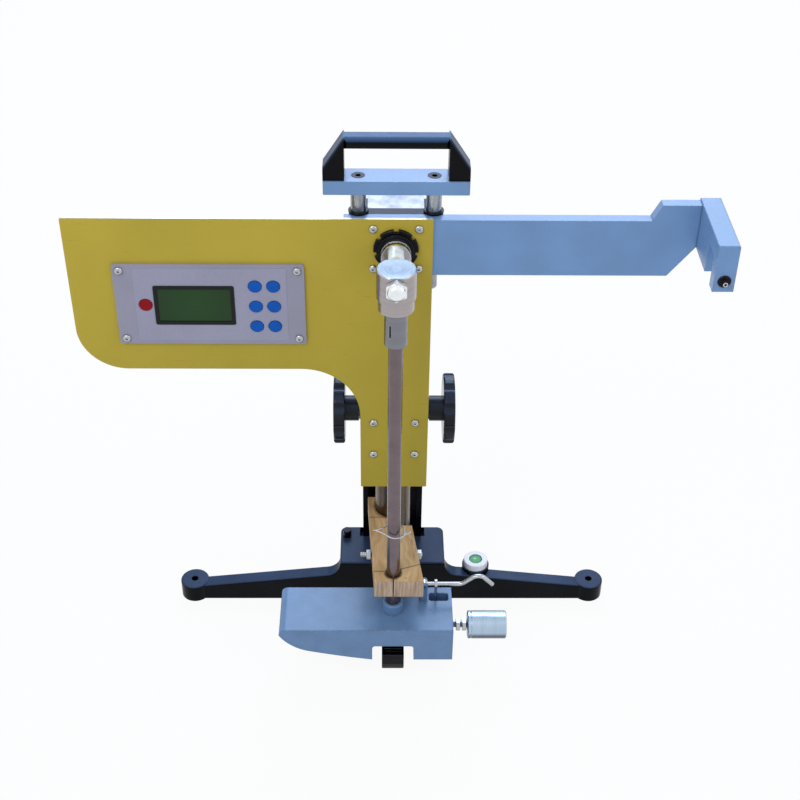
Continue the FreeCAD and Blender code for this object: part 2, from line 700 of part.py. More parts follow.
def key_places():
    """The red key, then the blue ones from the top row down, left before right."""
    right, low = DISPLAY_RIGHT - BLUE_KEY_INSET_X, DISPLAY_BOTTOM + BLUE_KEY_INSET_Z
    blue = [(right - col * BLUE_KEY_PITCH_X, low + row * BLUE_KEY_PITCH_Z)
            for row in (2, 1, 0) for col in (1, 0)]
    return [(DISPLAY_LEFT + RED_KEY_INSET_X, DISPLAY_BOTTOM + RED_KEY_RISE)] + blue


def window_box(y0, y1):
    return box(WINDOW_LEFT, WINDOW_LEFT + WINDOW_W, y0, y1, WINDOW_BOTTOM, WINDOW_BOTTOM + WINDOW_H)


def display_plate():
    plate = box(DISPLAY_LEFT, DISPLAY_RIGHT, DISPLAY_FRONT, PANEL_FRONT, DISPLAY_BOTTOM, DISPLAY_TOP)
    plate = rounded(plate, 3, lambda p: min(abs(p.x - DISPLAY_LEFT), abs(p.x - DISPLAY_RIGHT)) < 1e-3
                    and min(abs(p.z - DISPLAY_BOTTOM), abs(p.z - DISPLAY_TOP)) < 1e-3)
    tools = [window_box(DISPLAY_FRONT - 1, PANEL_FRONT + 1)]
    tools += [rod(KEY_R + SLIDE_FIT, (x, DISPLAY_FRONT - 1, z), (x, PANEL_FRONT + 1, z))
              for x, z in key_places()]
    tools += [rod(SCREW_R, (x, DISPLAY_FRONT - 1, z), (x, PANEL_FRONT + 1, z))
              for x, z in display_screw_places()]
    return cut(plate, tools)


def display_window():
    return window_box(DISPLAY_FRONT, PANEL_BACK)


def key(x, z):
    face = DISPLAY_FRONT - KEY_PROUD
    cap = rod(KEY_R, (x, face, z), (x, PANEL_FRONT - KEY_TRAVEL - SLIDE_FIT, z))
    return rounded(cap, 0.5, lambda p: p.y < face + 1e-3)


def electronics_cover():
    """The box behind the panel that closes over the board and the cells."""
    x0, x1 = DISPLAY_LEFT + COVER_INSET, DISPLAY_RIGHT - COVER_INSET
    z0, z1 = DISPLAY_BOTTOM + COVER_INSET, DISPLAY_TOP - COVER_INSET
    back = PANEL_BACK + COVER_DEPTH
    outer = box(x0, x1, PANEL_BACK, back, z0, z1)
    outer = rounded(outer, COVER_EDGE_R, lambda p: p.y > back - 1e-3)
    w = COVER_WALL
    return outer.cut(box(x0 + w, x1 - w, PANEL_BACK - 1, back - w, z0 + w, z1 - w))


def circuit_board():
    x0, x1 = DISPLAY_LEFT + BOARD_INSET, DISPLAY_RIGHT - BOARD_INSET
    z0, z1 = DISPLAY_BOTTOM + BOARD_INSET, DISPLAY_TOP - BOARD_INSET
    back = PANEL_BACK + BOARD_T
    board = box(x0, x1, PANEL_BACK, back, z0, z1)
    left, middle = key_places()[3]
    left -= CHIP_LEFT
    chip = box(left, left + CHIP_SIDE, back, back + CHIP_T, middle - CHIP_SIDE / 2, middle + CHIP_SIDE / 2)
    return fuse([board, chip])


def battery_pack():
    """Four round cells in a row against the cover's back wall."""
    r = CELL_R
    wall = PANEL_BACK + COVER_DEPTH - COVER_WALL
    x0 = WINDOW_LEFT + r
    step = CELL_L + CELL_GAP
    z0 = DISPLAY_BOTTOM + BLUE_KEY_INSET_Z
    cells = []
    for i in range(2):
        for k in range(2):
            z = z0 + k * (2 * r + CELL_GAP)
            cells.append(rod(r, (x0 + i * step, wall - r, z), (x0 + i * step + CELL_L, wall - r, z)))
    tray = box(x0, x0 + step + CELL_L, wall - r, wall, z0 - 0.7 * r, z0 + 2.7 * r + CELL_GAP)
    return fuse([tray] + cells)


# Catch arm

def catch_arm():
    outline = [(BAR_LEFT, BAR_BOTTOM), (BAR_BEVEL_X, BAR_BOTTOM), (CATCH_X, BAR_BEVEL_Z),
               (CATCH_X, BAR_RISE_TOP),
               (BAR_STEP_X + BAR_STEP_RUN, BAR_RISE_TOP), (BAR_STEP_X, BODY_TOP), (BAR_LEFT, BODY_TOP)]
    bar = extrude_xz(outline, PANEL_BACK, BAR_BACK)
    tools = [housing_bore(HOUSING_R, PANEL_BACK - 1, BAR_BACK + 1)]
    tools += [rod(SCREW_R, (x, PANEL_BACK - 1, z), (x, BAR_BACK + 1, z)) for x, z in panel_screw_places()[:4]]
    mid = BAR_BACK - BAR_T / 2
    tools += [rod(CAP_SCREW_R, (CATCH_X - BLOCK_SCREW_L, mid, z), (CATCH_X + 1, mid, z))
              for z in block_screw_heights()]
    return cut(bar, tools)


def block_screw_heights():
    upper = CATCH_TOP - BLOCK_SCREW_DROP
    return [upper, upper - BLOCK_SCREW_PITCH]


def end_block():
    """The catch block: a slot open below takes the arm, a bore takes the plunger."""
    x0, x1 = CATCH_X, CATCH_X + CATCH_W
    block = box(x0, x1, CATCH_FRONT, CATCH_BACK, CATCH_BOTTOM, CATCH_TOP)
    block = rounded(block, 1.2, lambda p: abs(p.z - CATCH_TOP) < 1e-3)
    slot = box(x0 - 1, x1 + 1, SLOT_FRONT, SLOT_BACK, CATCH_BOTTOM - 1, SLOT_TOP)
    slot = rounded(slot, EDGE_R, lambda p: p.z > SLOT_TOP - 1e-3
                   and min(p.y - SLOT_FRONT, SLOT_BACK - p.y) < 1e-3)
    bore = rod(BUSHING_R, (CATCH_MID, CATCH_FRONT - 1, PLUNGER_Z), (CATCH_MID, SLOT_FRONT + 1, PLUNGER_Z))
    tools = [slot, bore]
    yc = BAR_BACK - BAR_T / 2
    for z in block_screw_heights():
        tools.append(rod(CAP_SCREW_R, (x0 - 1, yc, z), (x1 + 1, yc, z)))
        tools.append(rod(CAP_SCREW_HEAD_R + SLIDE_FIT, (x1 - CAP_SCREW_HEAD_H, yc, z), (x1 + 1, yc, z)))
    return cut(block, tools)


def plunger_bushing():
    front = CATCH_FRONT - BUSHING_PROUD
    start, end = (CATCH_MID, front, PLUNGER_Z), (CATCH_MID, SLOT_FRONT, PLUNGER_Z)
    bushing = tube(BUSHING_R, PLUNGER_R + RUN_FIT, start, end)
    return bushing.makeChamfer(0.5, edges_where(bushing, lambda p: p.y < front + 1e-3
                               and math.hypot(p.x - CATCH_MID, p.z - PLUNGER_Z) > BUSHING_R - 1e-3))


def release_plunger():
    """The hollow pin under the latched arm, pulled out to let the arm fall."""
    front, tip = CATCH_FRONT - PLUNGER_OUT, SLOT_FRONT + PLUNGER_IN
    pin = rod(PLUNGER_R, (CATCH_MID, front, PLUNGER_Z), (CATCH_MID, tip, PLUNGER_Z))
    pin = pin.makeChamfer(0.8, edges_where(pin, lambda p: p.y > tip - 1e-3))
    start, end = (CATCH_MID, front - 1, PLUNGER_Z), (CATCH_MID, CATCH_FRONT, PLUNGER_Z)
    return pin.cut(rod(PLUNGER_R - PLUNGER_WALL, start, end))


def cap_screws():
    """The socket screws of the end block and of the top plate, sunk in their holes."""
    x1 = CATCH_X + CATCH_W - CAP_SCREW_HEAD_H
    yc = BAR_BACK - BAR_T / 2
    sink = TOP_TOP - CAP_SCREW_HEAD_H
    screws = [cap_screw((x1, yc, z), (1, 0, 0), x1 - CATCH_X + BLOCK_SCREW_L) for z in block_screw_heights()]
    screws += [cap_screw((x, PILLAR_Y, sink), (0, 0, 1), sink - TOP_BOTTOM + PILLAR_STUD)
               for x in pillar_places()]
    return screws


def head_fasteners():
    """What screws into the head's blue pieces: the socket screws and the release pin's bushing."""
    return Part.Compound(cap_screws() + [plunger_bushing()])


# Top plate and handle

def handle_pillars():
    shapes = []
    for x in pillar_places():
        pillar = rod(PILLAR_R, (x, PILLAR_Y, BODY_TOP), (x, PILLAR_Y, TOP_BOTTOM))
        stud = rod(CAP_SCREW_R, (x, PILLAR_Y, BODY_TOP - PILLAR_STUD), (x, PILLAR_Y, BODY_TOP))
        hole = rod(CAP_SCREW_R, (x, PILLAR_Y, TOP_BOTTOM - PILLAR_STUD), (x, PILLAR_Y, TOP_BOTTOM + 1))
        shapes.append(fuse([pillar, stud]).cut(hole))
    return Part.Compound(shapes)


def top_plate():
    y0, y1 = PILLAR_Y - TOP_D / 2, PILLAR_Y + TOP_D / 2
    plate = box(-TOP_W / 2, TOP_W / 2, y0, y1, TOP_BOTTOM, TOP_TOP)
    plate = rounded(plate, TOP_CORNER_R, lambda p: abs(abs(p.x) - TOP_W / 2) < 1e-3
                    and min(abs(p.y - y0), abs(p.y - y1)) < 1e-3)
    sink = TOP_TOP - CAP_SCREW_HEAD_H
    tools = []
    for x in pillar_places():
        tools.append(rod(CAP_SCREW_R, (x, PILLAR_Y, TOP_BOTTOM - 1), (x, PILLAR_Y, TOP_TOP + 1)))
        tools.append(rod(CAP_SCREW_HEAD_R + SLIDE_FIT, (x, PILLAR_Y, sink), (x, PILLAR_Y, TOP_TOP + 1)))
    return cut(plate, tools)


def carrying_handle():
    """The moulded bridge handle: two legs that lean in to a rounded grip."""
    w, g = TOP_W / 2, GRIP_W / 2
    y0, y1 = PILLAR_Y - HANDLE_D / 2, PILLAR_Y + HANDLE_D / 2
    shoulder = TOP_TOP + HANDLE_SHOULDER
    outline = [(-w, TOP_TOP), (w, TOP_TOP), (w, shoulder), (g, HANDLE_TOP), (-g, HANDLE_TOP), (-w, shoulder)]
    legs = extrude_xz(outline, y0, y1)
    legs = rounded(legs, HANDLE_EDGE_R, lambda p: p.z > shoulder - 1e-3
                   and min(abs(p.y - y0), abs(p.y - y1)) < 1e-3)
    inner = FINGER_W / 2
    legs = legs.cut(box(-inner, inner, y0 - 1, y1 + 1, TOP_TOP - 1, HANDLE_TOP + 1))
    half, low = GRIP_D / 2, HANDLE_TOP - GRIP_T
    grip = box(-g, g, PILLAR_Y - half, PILLAR_Y + half, low, HANDLE_TOP)
    grip = rounded(grip, GRIP_R, lambda p: abs(abs(p.y - PILLAR_Y) - half) < 1e-3)
    return legs.fuse(grip.common(box(-inner, inner, y0, y1, low, HANDLE_TOP))).removeSplitter()


# Hand wheels

def knob_shaft():
    reach = WHEEL_NEAR + WHEEL_HUB_L + WHEEL_T - WHEEL_WEB
    return rod(SHAFT_R, (-reach, SHAFT_Y, SHAFT_Z), (reach, SHAFT_Y, SHAFT_Z))


def involute_tooth_points(r_base, r_tip, r_root, half_angle_at_pitch, r_pitch):
    """Flank points of one tooth about the +Y direction, from root to tip."""
    def inv(r):
        a = math.acos(min(1.0, r_base / r))
        return math.tan(a) - a
    steps = 3
    pts = [(r_root, half_angle_at_pitch + inv(r_pitch))]
    for k in range(steps + 1):
        r = r_base + (r_tip - r_base) * k / steps
        pts.append((r, half_angle_at_pitch + inv(r_pitch) - inv(r)))
    return pts


def pinion():
    """Involute pinion on the shaft; a gap between teeth faces the rack at rest."""
    rp = PINION_PITCH_R
    rb = rp * math.cos(math.radians(PRESSURE_ANGLE))
    rt = rp + GEAR_MODULE * 0.9
    rr = rp - GEAR_MODULE * 1.15
    half = math.pi / (2 * PINION_TEETH) - BACKLASH / rp
    flank = involute_tooth_points(rb, rt, rr, half, rp)
    ring = []
    for i in range(PINION_TEETH):
        mid = 2 * math.pi * (i + 0.5) / PINION_TEETH
        for r, a in flank:
            ring.append((r, mid - a))
        for r, a in reversed(flank):
            ring.append((r, mid + a))
    pts = [V(-PINION_W / 2, SHAFT_Y + r * math.cos(a), SHAFT_Z + r * math.sin(a)) for r, a in ring]
    blank = Part.Face(Part.makePolygon(pts + [pts[0]])).extrude(V(PINION_W, 0, 0))
    return blank.cut(rod(SHAFT_R, (-PINION_W, SHAFT_Y, SHAFT_Z), (PINION_W, SHAFT_Y, SHAFT_Z)))


def hand_wheel(side):
    """A black hand wheel with a scalloped rim, and its hub towards the head."""
    near = WHEEL_NEAR
    mid = near + WHEEL_HUB_L
    far = mid + WHEEL_T
    disc = rod(WHEEL_R, (side * mid, SHAFT_Y, SHAFT_Z), (side * far, SHAFT_Y, SHAFT_Z))
    disc = rounded(disc, 2.5, lambda p: math.hypot(p.y - SHAFT_Y, p.z - SHAFT_Z) > WHEEL_R - 1e-3)
    hub = rod(WHEEL_HUB_R, (side * near, SHAFT_Y, SHAFT_Z), (side * (mid + 1), SHAFT_Y, SHAFT_Z))
    wheel = fuse([disc, hub])
    start, end = (side * (near - 1), SHAFT_Y, SHAFT_Z), (side * (far - WHEEL_WEB), SHAFT_Y, SHAFT_Z)
    tools = [rod(SHAFT_R, start, end)]
    out = WHEEL_R + SCALLOP_R - SCALLOP_DEPTH
    for i in range(WHEEL_LOBES):
        a = 2 * math.pi * i / WHEEL_LOBES
        y, z = SHAFT_Y + out * math.cos(a), SHAFT_Z + out * math.sin(a)
        tools.append(rod(SCALLOP_R, (side * (mid - 1), y, z), (side * (far + 1), y, z)))
    return cut(wheel, tools)


def lock_screw():
    tail = BAND_BACK + LOCK_SHANK + LOCK_KNOB_T - LOCK_R
    return rod(LOCK_R, (0, POST_BACK + SLIDE_FIT, LOCK_Z), (0, tail, LOCK_Z))


def lock_knob():
    """A lobed knob on the lock screw, behind the band."""
    y0 = BAND_BACK + LOCK_SHANK
    y1 = y0 + LOCK_KNOB_T
    knob = rod(LOCK_KNOB_R, (0, y0, LOCK_Z), (0, y1, LOCK_Z))
    knob = rounded(knob, 2, lambda p: math.hypot(p.x, p.z - LOCK_Z) > LOCK_KNOB_R - 1e-3)
    boss = rod(2 * LOCK_R, (0, y0 - LOCK_BOSS_H, LOCK_Z), (0, y0 + 1, LOCK_Z))
    tools = [rod(LOCK_R, (0, y0 - LOCK_BOSS_H - 1, LOCK_Z), (0, y1 - LOCK_R, LOCK_Z))]
    out = LOCK_KNOB_R + LOCK_SCALLOP_R - LOCK_SCALLOP_DEPTH
    for i in range(LOCK_LOBES):
        a = 2 * math.pi * i / LOCK_LOBES
        x, z = out * math.cos(a), LOCK_Z + out * math.sin(a)
        tools.append(rod(LOCK_SCALLOP_R, (x, y0 - 1, z), (x, y1 + 1, z)))
    return cut(fuse([knob, boss]), tools)


# Bearing and spindle

def bearing_housing():
    """The sleeve through panel, bar and body that seats both bearings."""
    sleeve = tube(HOUSING_R, HOUSING_SEAT_R, (0, HOUSING_FRONT, PIVOT_Z), (0, HOUSING_REAR, PIVOT_Z))
    y0, y1 = housing_shoulder()
    shoulder = tube(HOUSING_SEAT_R, HOUSING_SEAT_R - 3, (0, y0, PIVOT_Z), (0, y1, PIVOT_Z))
    return fuse([sleeve, shoulder])


def housing_shoulder():
    return HOUSING_FRONT + BEARING_W, HOUSING_REAR - BEARING_W


def bearing(y0):
    return tube(HOUSING_SEAT_R, SPINDLE_R + RUN_FIT, (0, y0, PIVOT_Z), (0, y0 + BEARING_W, PIVOT_Z))


def spindle_bearings():
    return Part.Compound([bearing(HOUSING_FRONT), bearing(HOUSING_REAR - BEARING_W)])


def lock_ring():
    """The black castellated ring that clamps the housing to the panel."""
    y0, y1 = PANEL_FRONT - RING_T, PANEL_FRONT
    ring = rod(RING_R, (0, y0, PIVOT_Z), (0, y1, PIVOT_Z))
    ring = ring.makeChamfer(0.6, edges_where(ring, lambda p: p.y < y0 + 1e-3))
    tools = [rod(HOUSING_R, (0, y0 - 1, PIVOT_Z), (0, y1 + 1, PIVOT_Z))]
    w = RING_NOTCH_W / 2
    for i in range(RING_NOTCHES):
        notch = box(-w, w, y0 - 1, y1 + 1, RING_R - RING_NOTCH_DEPTH, RING_R + 1)
        notch.rotate(V(0, 0, 0), V(0, 1, 0), 360 / RING_NOTCHES * i)
        notch.translate(V(0, 0, PIVOT_Z))
        tools.append(notch)
    return cut(ring, tools)


def spindle():
    """The turning shaft: bearing journal, grooved flange, hub seat and thread."""
    flange_back = HOUSING_FRONT - SLIDE_FIT
    nut_face = ARM_Y - HUB_R
    journal = rod(SPINDLE_R, (0, HOUSING_REAR, PIVOT_Z), (0, flange_back, PIVOT_Z))
    flange = rod(FLANGE_R, (0, flange_back, PIVOT_Z), (0, FLANGE_FRONT, PIVOT_Z))
    groove_y = (flange_back + FLANGE_FRONT) / 2
    groove = tube(FLANGE_R + 1, FLANGE_R - 1.2, (0, groove_y - 1, PIVOT_Z), (0, groove_y + 1, PIVOT_Z))
    seat = rod(SPINDLE_R + 2, (0, FLANGE_FRONT, PIVOT_Z), (0, ARM_Y, PIVOT_Z))
    stud = rod(SPINDLE_R - 1, (0, ARM_Y, PIVOT_Z), (0, nut_face - NUT_H + NUT_BLIND, PIVOT_Z))
    return fuse([journal, flange.cut(groove), seat, stud])


def hub():
    """The turned head of the arm, with a round flat in front for the nut."""
    top = PIVOT_Z + HUB_ABOVE
    body = rod(HUB_R, (0, ARM_Y, HUB_BOTTOM), (0, ARM_Y, top))
    body = body.makeChamfer(0.8, edges_where(body, lambda p: p.z > top - 1e-3))
    front = ARM_Y - HUB_R
    flat = rod(NUT_ACROSS / 2 + NUT_FLAT_ROOM, (0, front - 1, PIVOT_Z), (0, front + NUT_FLAT, PIVOT_Z))
    seat = rod(SPINDLE_R + 2, (0, ARM_Y + HUB_R + 1, PIVOT_Z), (0, ARM_Y, PIVOT_Z))
    stud = rod(SPINDLE_R - 1, (0, ARM_Y, PIVOT_Z), (0, ARM_Y - HUB_R - 1, PIVOT_Z))
    spigot = rod(SPIGOT_R, (0, ARM_Y, HUB_BOTTOM - 1), (0, ARM_Y, HUB_BOTTOM + SPIGOT_L))
    return cut(body, [seat, stud, spigot, flat])


def hub_nut():
    """A domed nut with its hexagon against the hub."""
    face = ARM_Y - HUB_R + NUT_FLAT
    end = face - NUT_H
    hexa = hexagon(NUT_ACROSS, (0, face, PIVOT_Z), (0, face - NUT_H * 0.55, PIVOT_Z))
    dome = rod(NUT_ACROSS / 2 - 0.8, (0, face - NUT_H * 0.5, PIVOT_Z), (0, end, PIVOT_Z))
    dome = rounded(dome, NUT_BLIND, lambda p: p.y < end + 1e-3)
    hole = rod(SPINDLE_R - 1, (0, face + 1, PIVOT_Z), (0, ARM_Y - HUB_R - NUT_H + NUT_BLIND, PIVOT_Z))
    return fuse([hexa, dome]).cut(hole)


def hub_collar():
    """The plain ring below the hub that grips the arm's socket."""
    ring = rod(COLLAR_R, (0, ARM_Y, COLLAR_BOTTOM), (0, ARM_Y, HUB_BOTTOM))
    ends = edges_where(ring, lambda p: min(p.z - COLLAR_BOTTOM, HUB_BOTTOM - p.z) < 1e-3)
    ring = ring.makeChamfer(1.0, ends)
    return ring.cut(rod(SPIGOT_R, (0, ARM_Y, COLLAR_BOTTOM - 1), (0, ARM_Y, HUB_BOTTOM + 1)))


def arm_socket():
    """The slotted neck that holds the top of the arm."""
    neck = rod(NECK_R, (0, ARM_Y, NECK_BOTTOM), (0, ARM_Y, COLLAR_BOTTOM))
    neck = neck.makeChamfer(1.2, edges_where(neck, lambda p: abs(p.z - NECK_BOTTOM) < 1e-3))
    spigot = rod(SPIGOT_R, (0, ARM_Y, COLLAR_BOTTOM), (0, ARM_Y, HUB_BOTTOM + SPIGOT_L))
    body = fuse([neck, spigot])
    z = NECK_BOTTOM + NECK_L * 0.5
    bore = rod(ROD_R, (0, ARM_Y, NECK_BOTTOM - 1), (0, ARM_Y, NECK_BOTTOM + ROD_IN_NECK))
    screw_hole = rod(SOCKET_SCREW_R, (0, ARM_Y, z), (NECK_R + 1, ARM_Y, z))
    x = -NECK_R / 2
    wide, high = SOCKET_SLOT_W / 2, SOCKET_SLOT_H / 2
    slot = box(x - wide, x + wide, ARM_Y - NECK_R - 1, ARM_Y, z - high, z + high)
    return cut(body, [bore, slot, screw_hole])


def arm_tube():
    z0, z1 = FOOT_TOP - FOOT_BORE_DEPTH, NECK_BOTTOM + ROD_IN_NECK
    return tube(ROD_R, ROD_R - ROD_WALL, (0, ARM_Y, z0), (0, ARM_Y, z1))


# Foot

def bulge(start, end, sag):
    """Middle and end point of a shallow arc that bulges to the right of its way, for extrude_xz."""
    dx, dz = end[0] - start[0], end[1] - start[1]
    length = math.hypot(dx, dz)
    return (((start[0] + end[0]) / 2 + sag * dz / length, (start[1] + end[1]) / 2 - sag * dx / length), end)


def foot_casting():
    """The foot: a round nose, a sole that sweeps up to it, and the slider's notch."""
    r = FOOT_NOSE_R
    nose = (FOOT_LEFT, FOOT_TOP - r)
    heel = (FOOT_LEFT + FOOT_HEEL_RUN, FOOT_BOTTOM + FOOT_HEEL_RISE)
    toe = (-NOTCH_W / 2, FOOT_BOTTOM)
    outline = [(FOOT_RIGHT, FOOT_BOTTOM), (FOOT_RIGHT, FOOT_TOP), (FOOT_LEFT + r, FOOT_TOP),
               arc_to((FOOT_LEFT + r, FOOT_TOP - r), r, 90, 180), bulge(nose, heel, FOOT_HEEL_SAG),
               bulge(heel, toe, FOOT_SOLE_SAG)]
    body = extrude_xz(outline, FOOT_FRONT, FOOT_BACK)
    plan = box(FOOT_LEFT, FOOT_RIGHT, FOOT_FRONT, FOOT_BACK, FOOT_BOTTOM - 1, FOOT_TOP + 1)
    upright = lambda p: abs(p.z - (FOOT_BOTTOM + FOOT_TOP) / 2) < 1e-3
    plan = rounded(plan, FOOT_NOSE_PLAN_R, lambda p: upright(p) and p.x < FOOT_LEFT + 1e-3)
    plan = rounded(plan, FOOT_EDGE_R, lambda p: upright(p) and p.x > FOOT_RIGHT - 1e-3)
    body = body.common(plan)
    boss = rod(FOOT_BOSS_R, (0, ARM_Y, FOOT_TOP - 5), (0, ARM_Y, FOOT_BOSS_TOP))
    boss = rounded(boss, 2, lambda p: p.z > FOOT_BOSS_TOP - 1e-3)
    body = fuse([body, boss] + lever_fork())
    notch = box(-NOTCH_W / 2, NOTCH_W / 2, FOOT_FRONT - 1, FOOT_BACK + 1, FOOT_BOTTOM - 1, NOTCH_TOP)
    notch = rounded(notch, NOTCH_R, lambda p: p.z > NOTCH_TOP - 1e-3 and abs(p.x) > NOTCH_W / 2 - 1e-3)
    half = FOOT_SLOT_W / 2
    x0, x1 = FOOT_SLOT_X, FOOT_SLOT_X + FOOT_SLOT_L
    slot = box(x0, x1, FOOT_SLOT_Y - half, FOOT_SLOT_Y + half, SLIDER_ARM_PIN_Z, FOOT_TOP + 1)
    slot = rounded(slot, 3, lambda p: min(p.x - x0, x1 - p.x) < 1e-3 and half - abs(p.y - FOOT_SLOT_Y) < 1e-3)
    room_w = SLIDER_ARM_W / 2 + LOOSE_FIT
    room = box(NOTCH_W / 2 - 6, SLIDER_ARM_PIN_X + 6, FOOT_SLOT_Y - room_w, FOOT_SLOT_Y + room_w,
               SLIDER_ARM_PIN_Z - SLIDER_ARM_ROOM, SLIDER_ARM_PIN_Z + 2 * SLIDER_ARM_ROOM)
    bore = rod(ROD_R, (0, ARM_Y, FOOT_TOP - FOOT_BORE_DEPTH), (0, ARM_Y, FOOT_BOSS_TOP + 1))
    stud = rod(STUD_R, (FOOT_RIGHT - STUD_IN, ARM_Y, STUD_Z), (FOOT_RIGHT + 1, ARM_Y, STUD_Z))
    return cut(body, [notch, slot, room, slider_pin(FOOT_BACK + 1), bore, stud, lever_pin()])


def lever_fork():
    """Two ears on the foot's top that carry the lever's pin."""
    ears = []
    for s in (-1, 1):
        y0 = FOOT_SLOT_Y + s * LEVER_FORK_GAP / 2
        y1 = y0 + s * FORK_T
        ear = box(LEVER_PIN_X - FORK_R, LEVER_PIN_X + FORK_R, min(y0, y1), max(y0, y1), FOOT_TOP - 2, LEVER_Z)
        ears.append(ear.fuse(rod(FORK_R, (LEVER_PIN_X, y0, LEVER_Z), (LEVER_PIN_X, y1, LEVER_Z))))
    return ears


def lever_pin():
    reach = LEVER_FORK_GAP / 2 + FORK_T
    start, end = ((LEVER_PIN_X, FOOT_SLOT_Y + way * reach, LEVER_Z) for way in (-1, 1))
    return rod(ARM_PIN_R, start, end)


def slider_pin(end):
    x, z = SLIDER_ARM_PIN_X, SLIDER_ARM_PIN_Z
    return rod(ARM_PIN_R, (x, FOOT_FRONT + ARM_PIN_BLIND, z), (x, end, z))


def pivot_pins():
    """The lifting lever's pin and the slider arm's pin."""
    return Part.Compound([lever_pin(), slider_pin(FOOT_BACK)])


def slider_arm():
    """The bar that carries the slider, hung on a cross pin inside the foot."""
    t = SLIDER_ARM_T / 2
    y0, y1 = FOOT_SLOT_Y - SLIDER_ARM_W / 2, FOOT_SLOT_Y + SLIDER_ARM_W / 2
    z = SLIDER_ARM_PIN_Z
    bar = box(-SLIDER_W / 2 + 3, SLIDER_ARM_PIN_X, y0, y1, z - t, z + t)
    eye = rod(t + 1.0, (SLIDER_ARM_PIN_X, y0, z), (SLIDER_ARM_PIN_X, y1, z))
    body = fuse([bar, eye])
    pin = rod(ARM_PIN_R + RUN_FIT, (SLIDER_ARM_PIN_X, y0 - 1, z), (SLIDER_ARM_PIN_X, y1 + 1, z))
    pull = rod(PULL_PIN_R, (PULL_X, FOOT_SLOT_Y, z - t - 1), (PULL_X, FOOT_SLOT_Y, z + t + 1))
    return cut(body, [pin, pull])


def slider_holder():
    """The metal block that backs the rubber, under the slider arm."""
    z0 = SLIDER_GAP + SLIDER_T
    z1 = SLIDER_ARM_PIN_Z - SLIDER_ARM_T / 2
    y0, y1 = ARM_Y - SLIDER_L / 2, ARM_Y + SLIDER_L / 2
    block = box(-SLIDER_W / 2, SLIDER_W / 2, y0, y1, z0, z1)
    half = SLIDER_W / 2 - BRIDGE_INSET
    side = box(-half, half, y0 + 2 * BRIDGE_INSET, FOOT_SLOT_Y - SLIDER_ARM_W / 2,
               z1, z1 + SLIDER_ARM_T - BRIDGE_INSET / 2)
    return fuse([block, side])


def rubber_slider():
    y0, y1 = ARM_Y - SLIDER_L / 2, ARM_Y + SLIDER_L / 2
    pad = box(-SLIDER_W / 2, SLIDER_W / 2, y0, y1, SLIDER_GAP, SLIDER_GAP + SLIDER_T)
    ends = edges_where(pad, lambda p: p.z < SLIDER_GAP + 1e-3 and abs(p.x) > SLIDER_W / 2 - 1e-3)
    return pad.makeChamfer(PAD_CHAMFER, ends)


def slider_spring():
    z0, z1 = SLIDER_ARM_PIN_Z + SLIDER_ARM_T / 2, SLIDER_ARM_PIN_Z + 2 * SLIDER_ARM_ROOM
    return tube(SPRING_R, SPRING_R - 1.2, (SPRING_X, FOOT_SLOT_Y, z0), (SPRING_X, FOOT_SLOT_Y, z1))


def lifting_lever():
    """A bent wire lever with an eye on its pin and a hooked free end."""
    y = FOOT_SLOT_Y
    high = LEVER_Z + LEVER_RISE
    path = [V(LEVER_PIN_X + LEVER_EYE_R - 1, y, LEVER_Z), V(LEVER_ELBOW_X, y, LEVER_Z),
            V(LEVER_ELBOW_X + LEVER_RISE * 1.2, y, high), V(LEVER_TIP_X - LEVER_RISE, y, high),
             V(LEVER_TIP_X, y, LEVER_Z - 1)]
    wire = bent_wire(path, LEVER_R, LEVER_BEND_R)
    w = LEVER_FORK_GAP / 2 - SLIDE_FIT
    eye = tube(LEVER_EYE_R, ARM_PIN_R + RUN_FIT, (LEVER_PIN_X, y - w, LEVER_Z), (LEVER_PIN_X, y + w, LEVER_Z))
    return fuse([wire, eye])


def bent_wire(points, radius, bend):
    """A round wire along straight runs joined by tangent arcs."""
    edges = []
    start = points[0]
    for i in range(1, len(points) - 1):
        a, b, c = points[i - 1], points[i], points[i + 1]
        u, w = (a - b).normalize(), (c - b).normalize()
        turn = math.pi - u.getAngle(w)
        trim = min(bend * math.tan(turn / 2), 0.45 * (a - b).Length, 0.45 * (c - b).Length)
        r = trim / math.tan(turn / 2)
        p, q = b + u * trim, b + w * trim
        centre_dir = (u + w).normalize()
        mid = b + centre_dir * (r / math.cos(turn / 2) - r)
        if (p - start).Length > 1e-6:
            edges.append(Part.LineSegment(start, p).toShape())
        edges.append(Part.Arc(p, mid, q).toShape())
        start = q
    edges.append(Part.LineSegment(start, points[-1]).toShape())
    wire = Part.Wire(edges)
    ring = Part.Wire(Part.makeCircle(radius, points[0], points[1] - points[0]))
    return wire.makePipeShell([ring], True, False)


def pull_pin():
    """The pin fixed in the slider arm, with a ring that goes round the lever."""
    z0 = SLIDER_ARM_PIN_Z - SLIDER_ARM_T / 2
    pin = rod(PULL_PIN_R, (PULL_X, FOOT_SLOT_Y, z0), (PULL_X, FOOT_SLOT_Y, LEVER_Z - PULL_EYE_R + 1))
    t = PULL_EYE_T / 2
    ring = rod(PULL_EYE_R, (PULL_X - t, FOOT_SLOT_Y, LEVER_Z), (PULL_X + t, FOOT_SLOT_Y, LEVER_Z))
    start, end = ((PULL_X + way * (t + 1), FOOT_SLOT_Y, LEVER_Z) for way in (-1, 1))
    hole = rod(LEVER_R + LOOSE_FIT, start, end)
    return fuse([pin, ring]).cut(hole)


def balance_stud():
    return rod(STUD_R, (FOOT_RIGHT - STUD_IN, ARM_Y, STUD_Z), (WEIGHT_X + WEIGHT_L - 6, ARM_Y, STUD_Z))


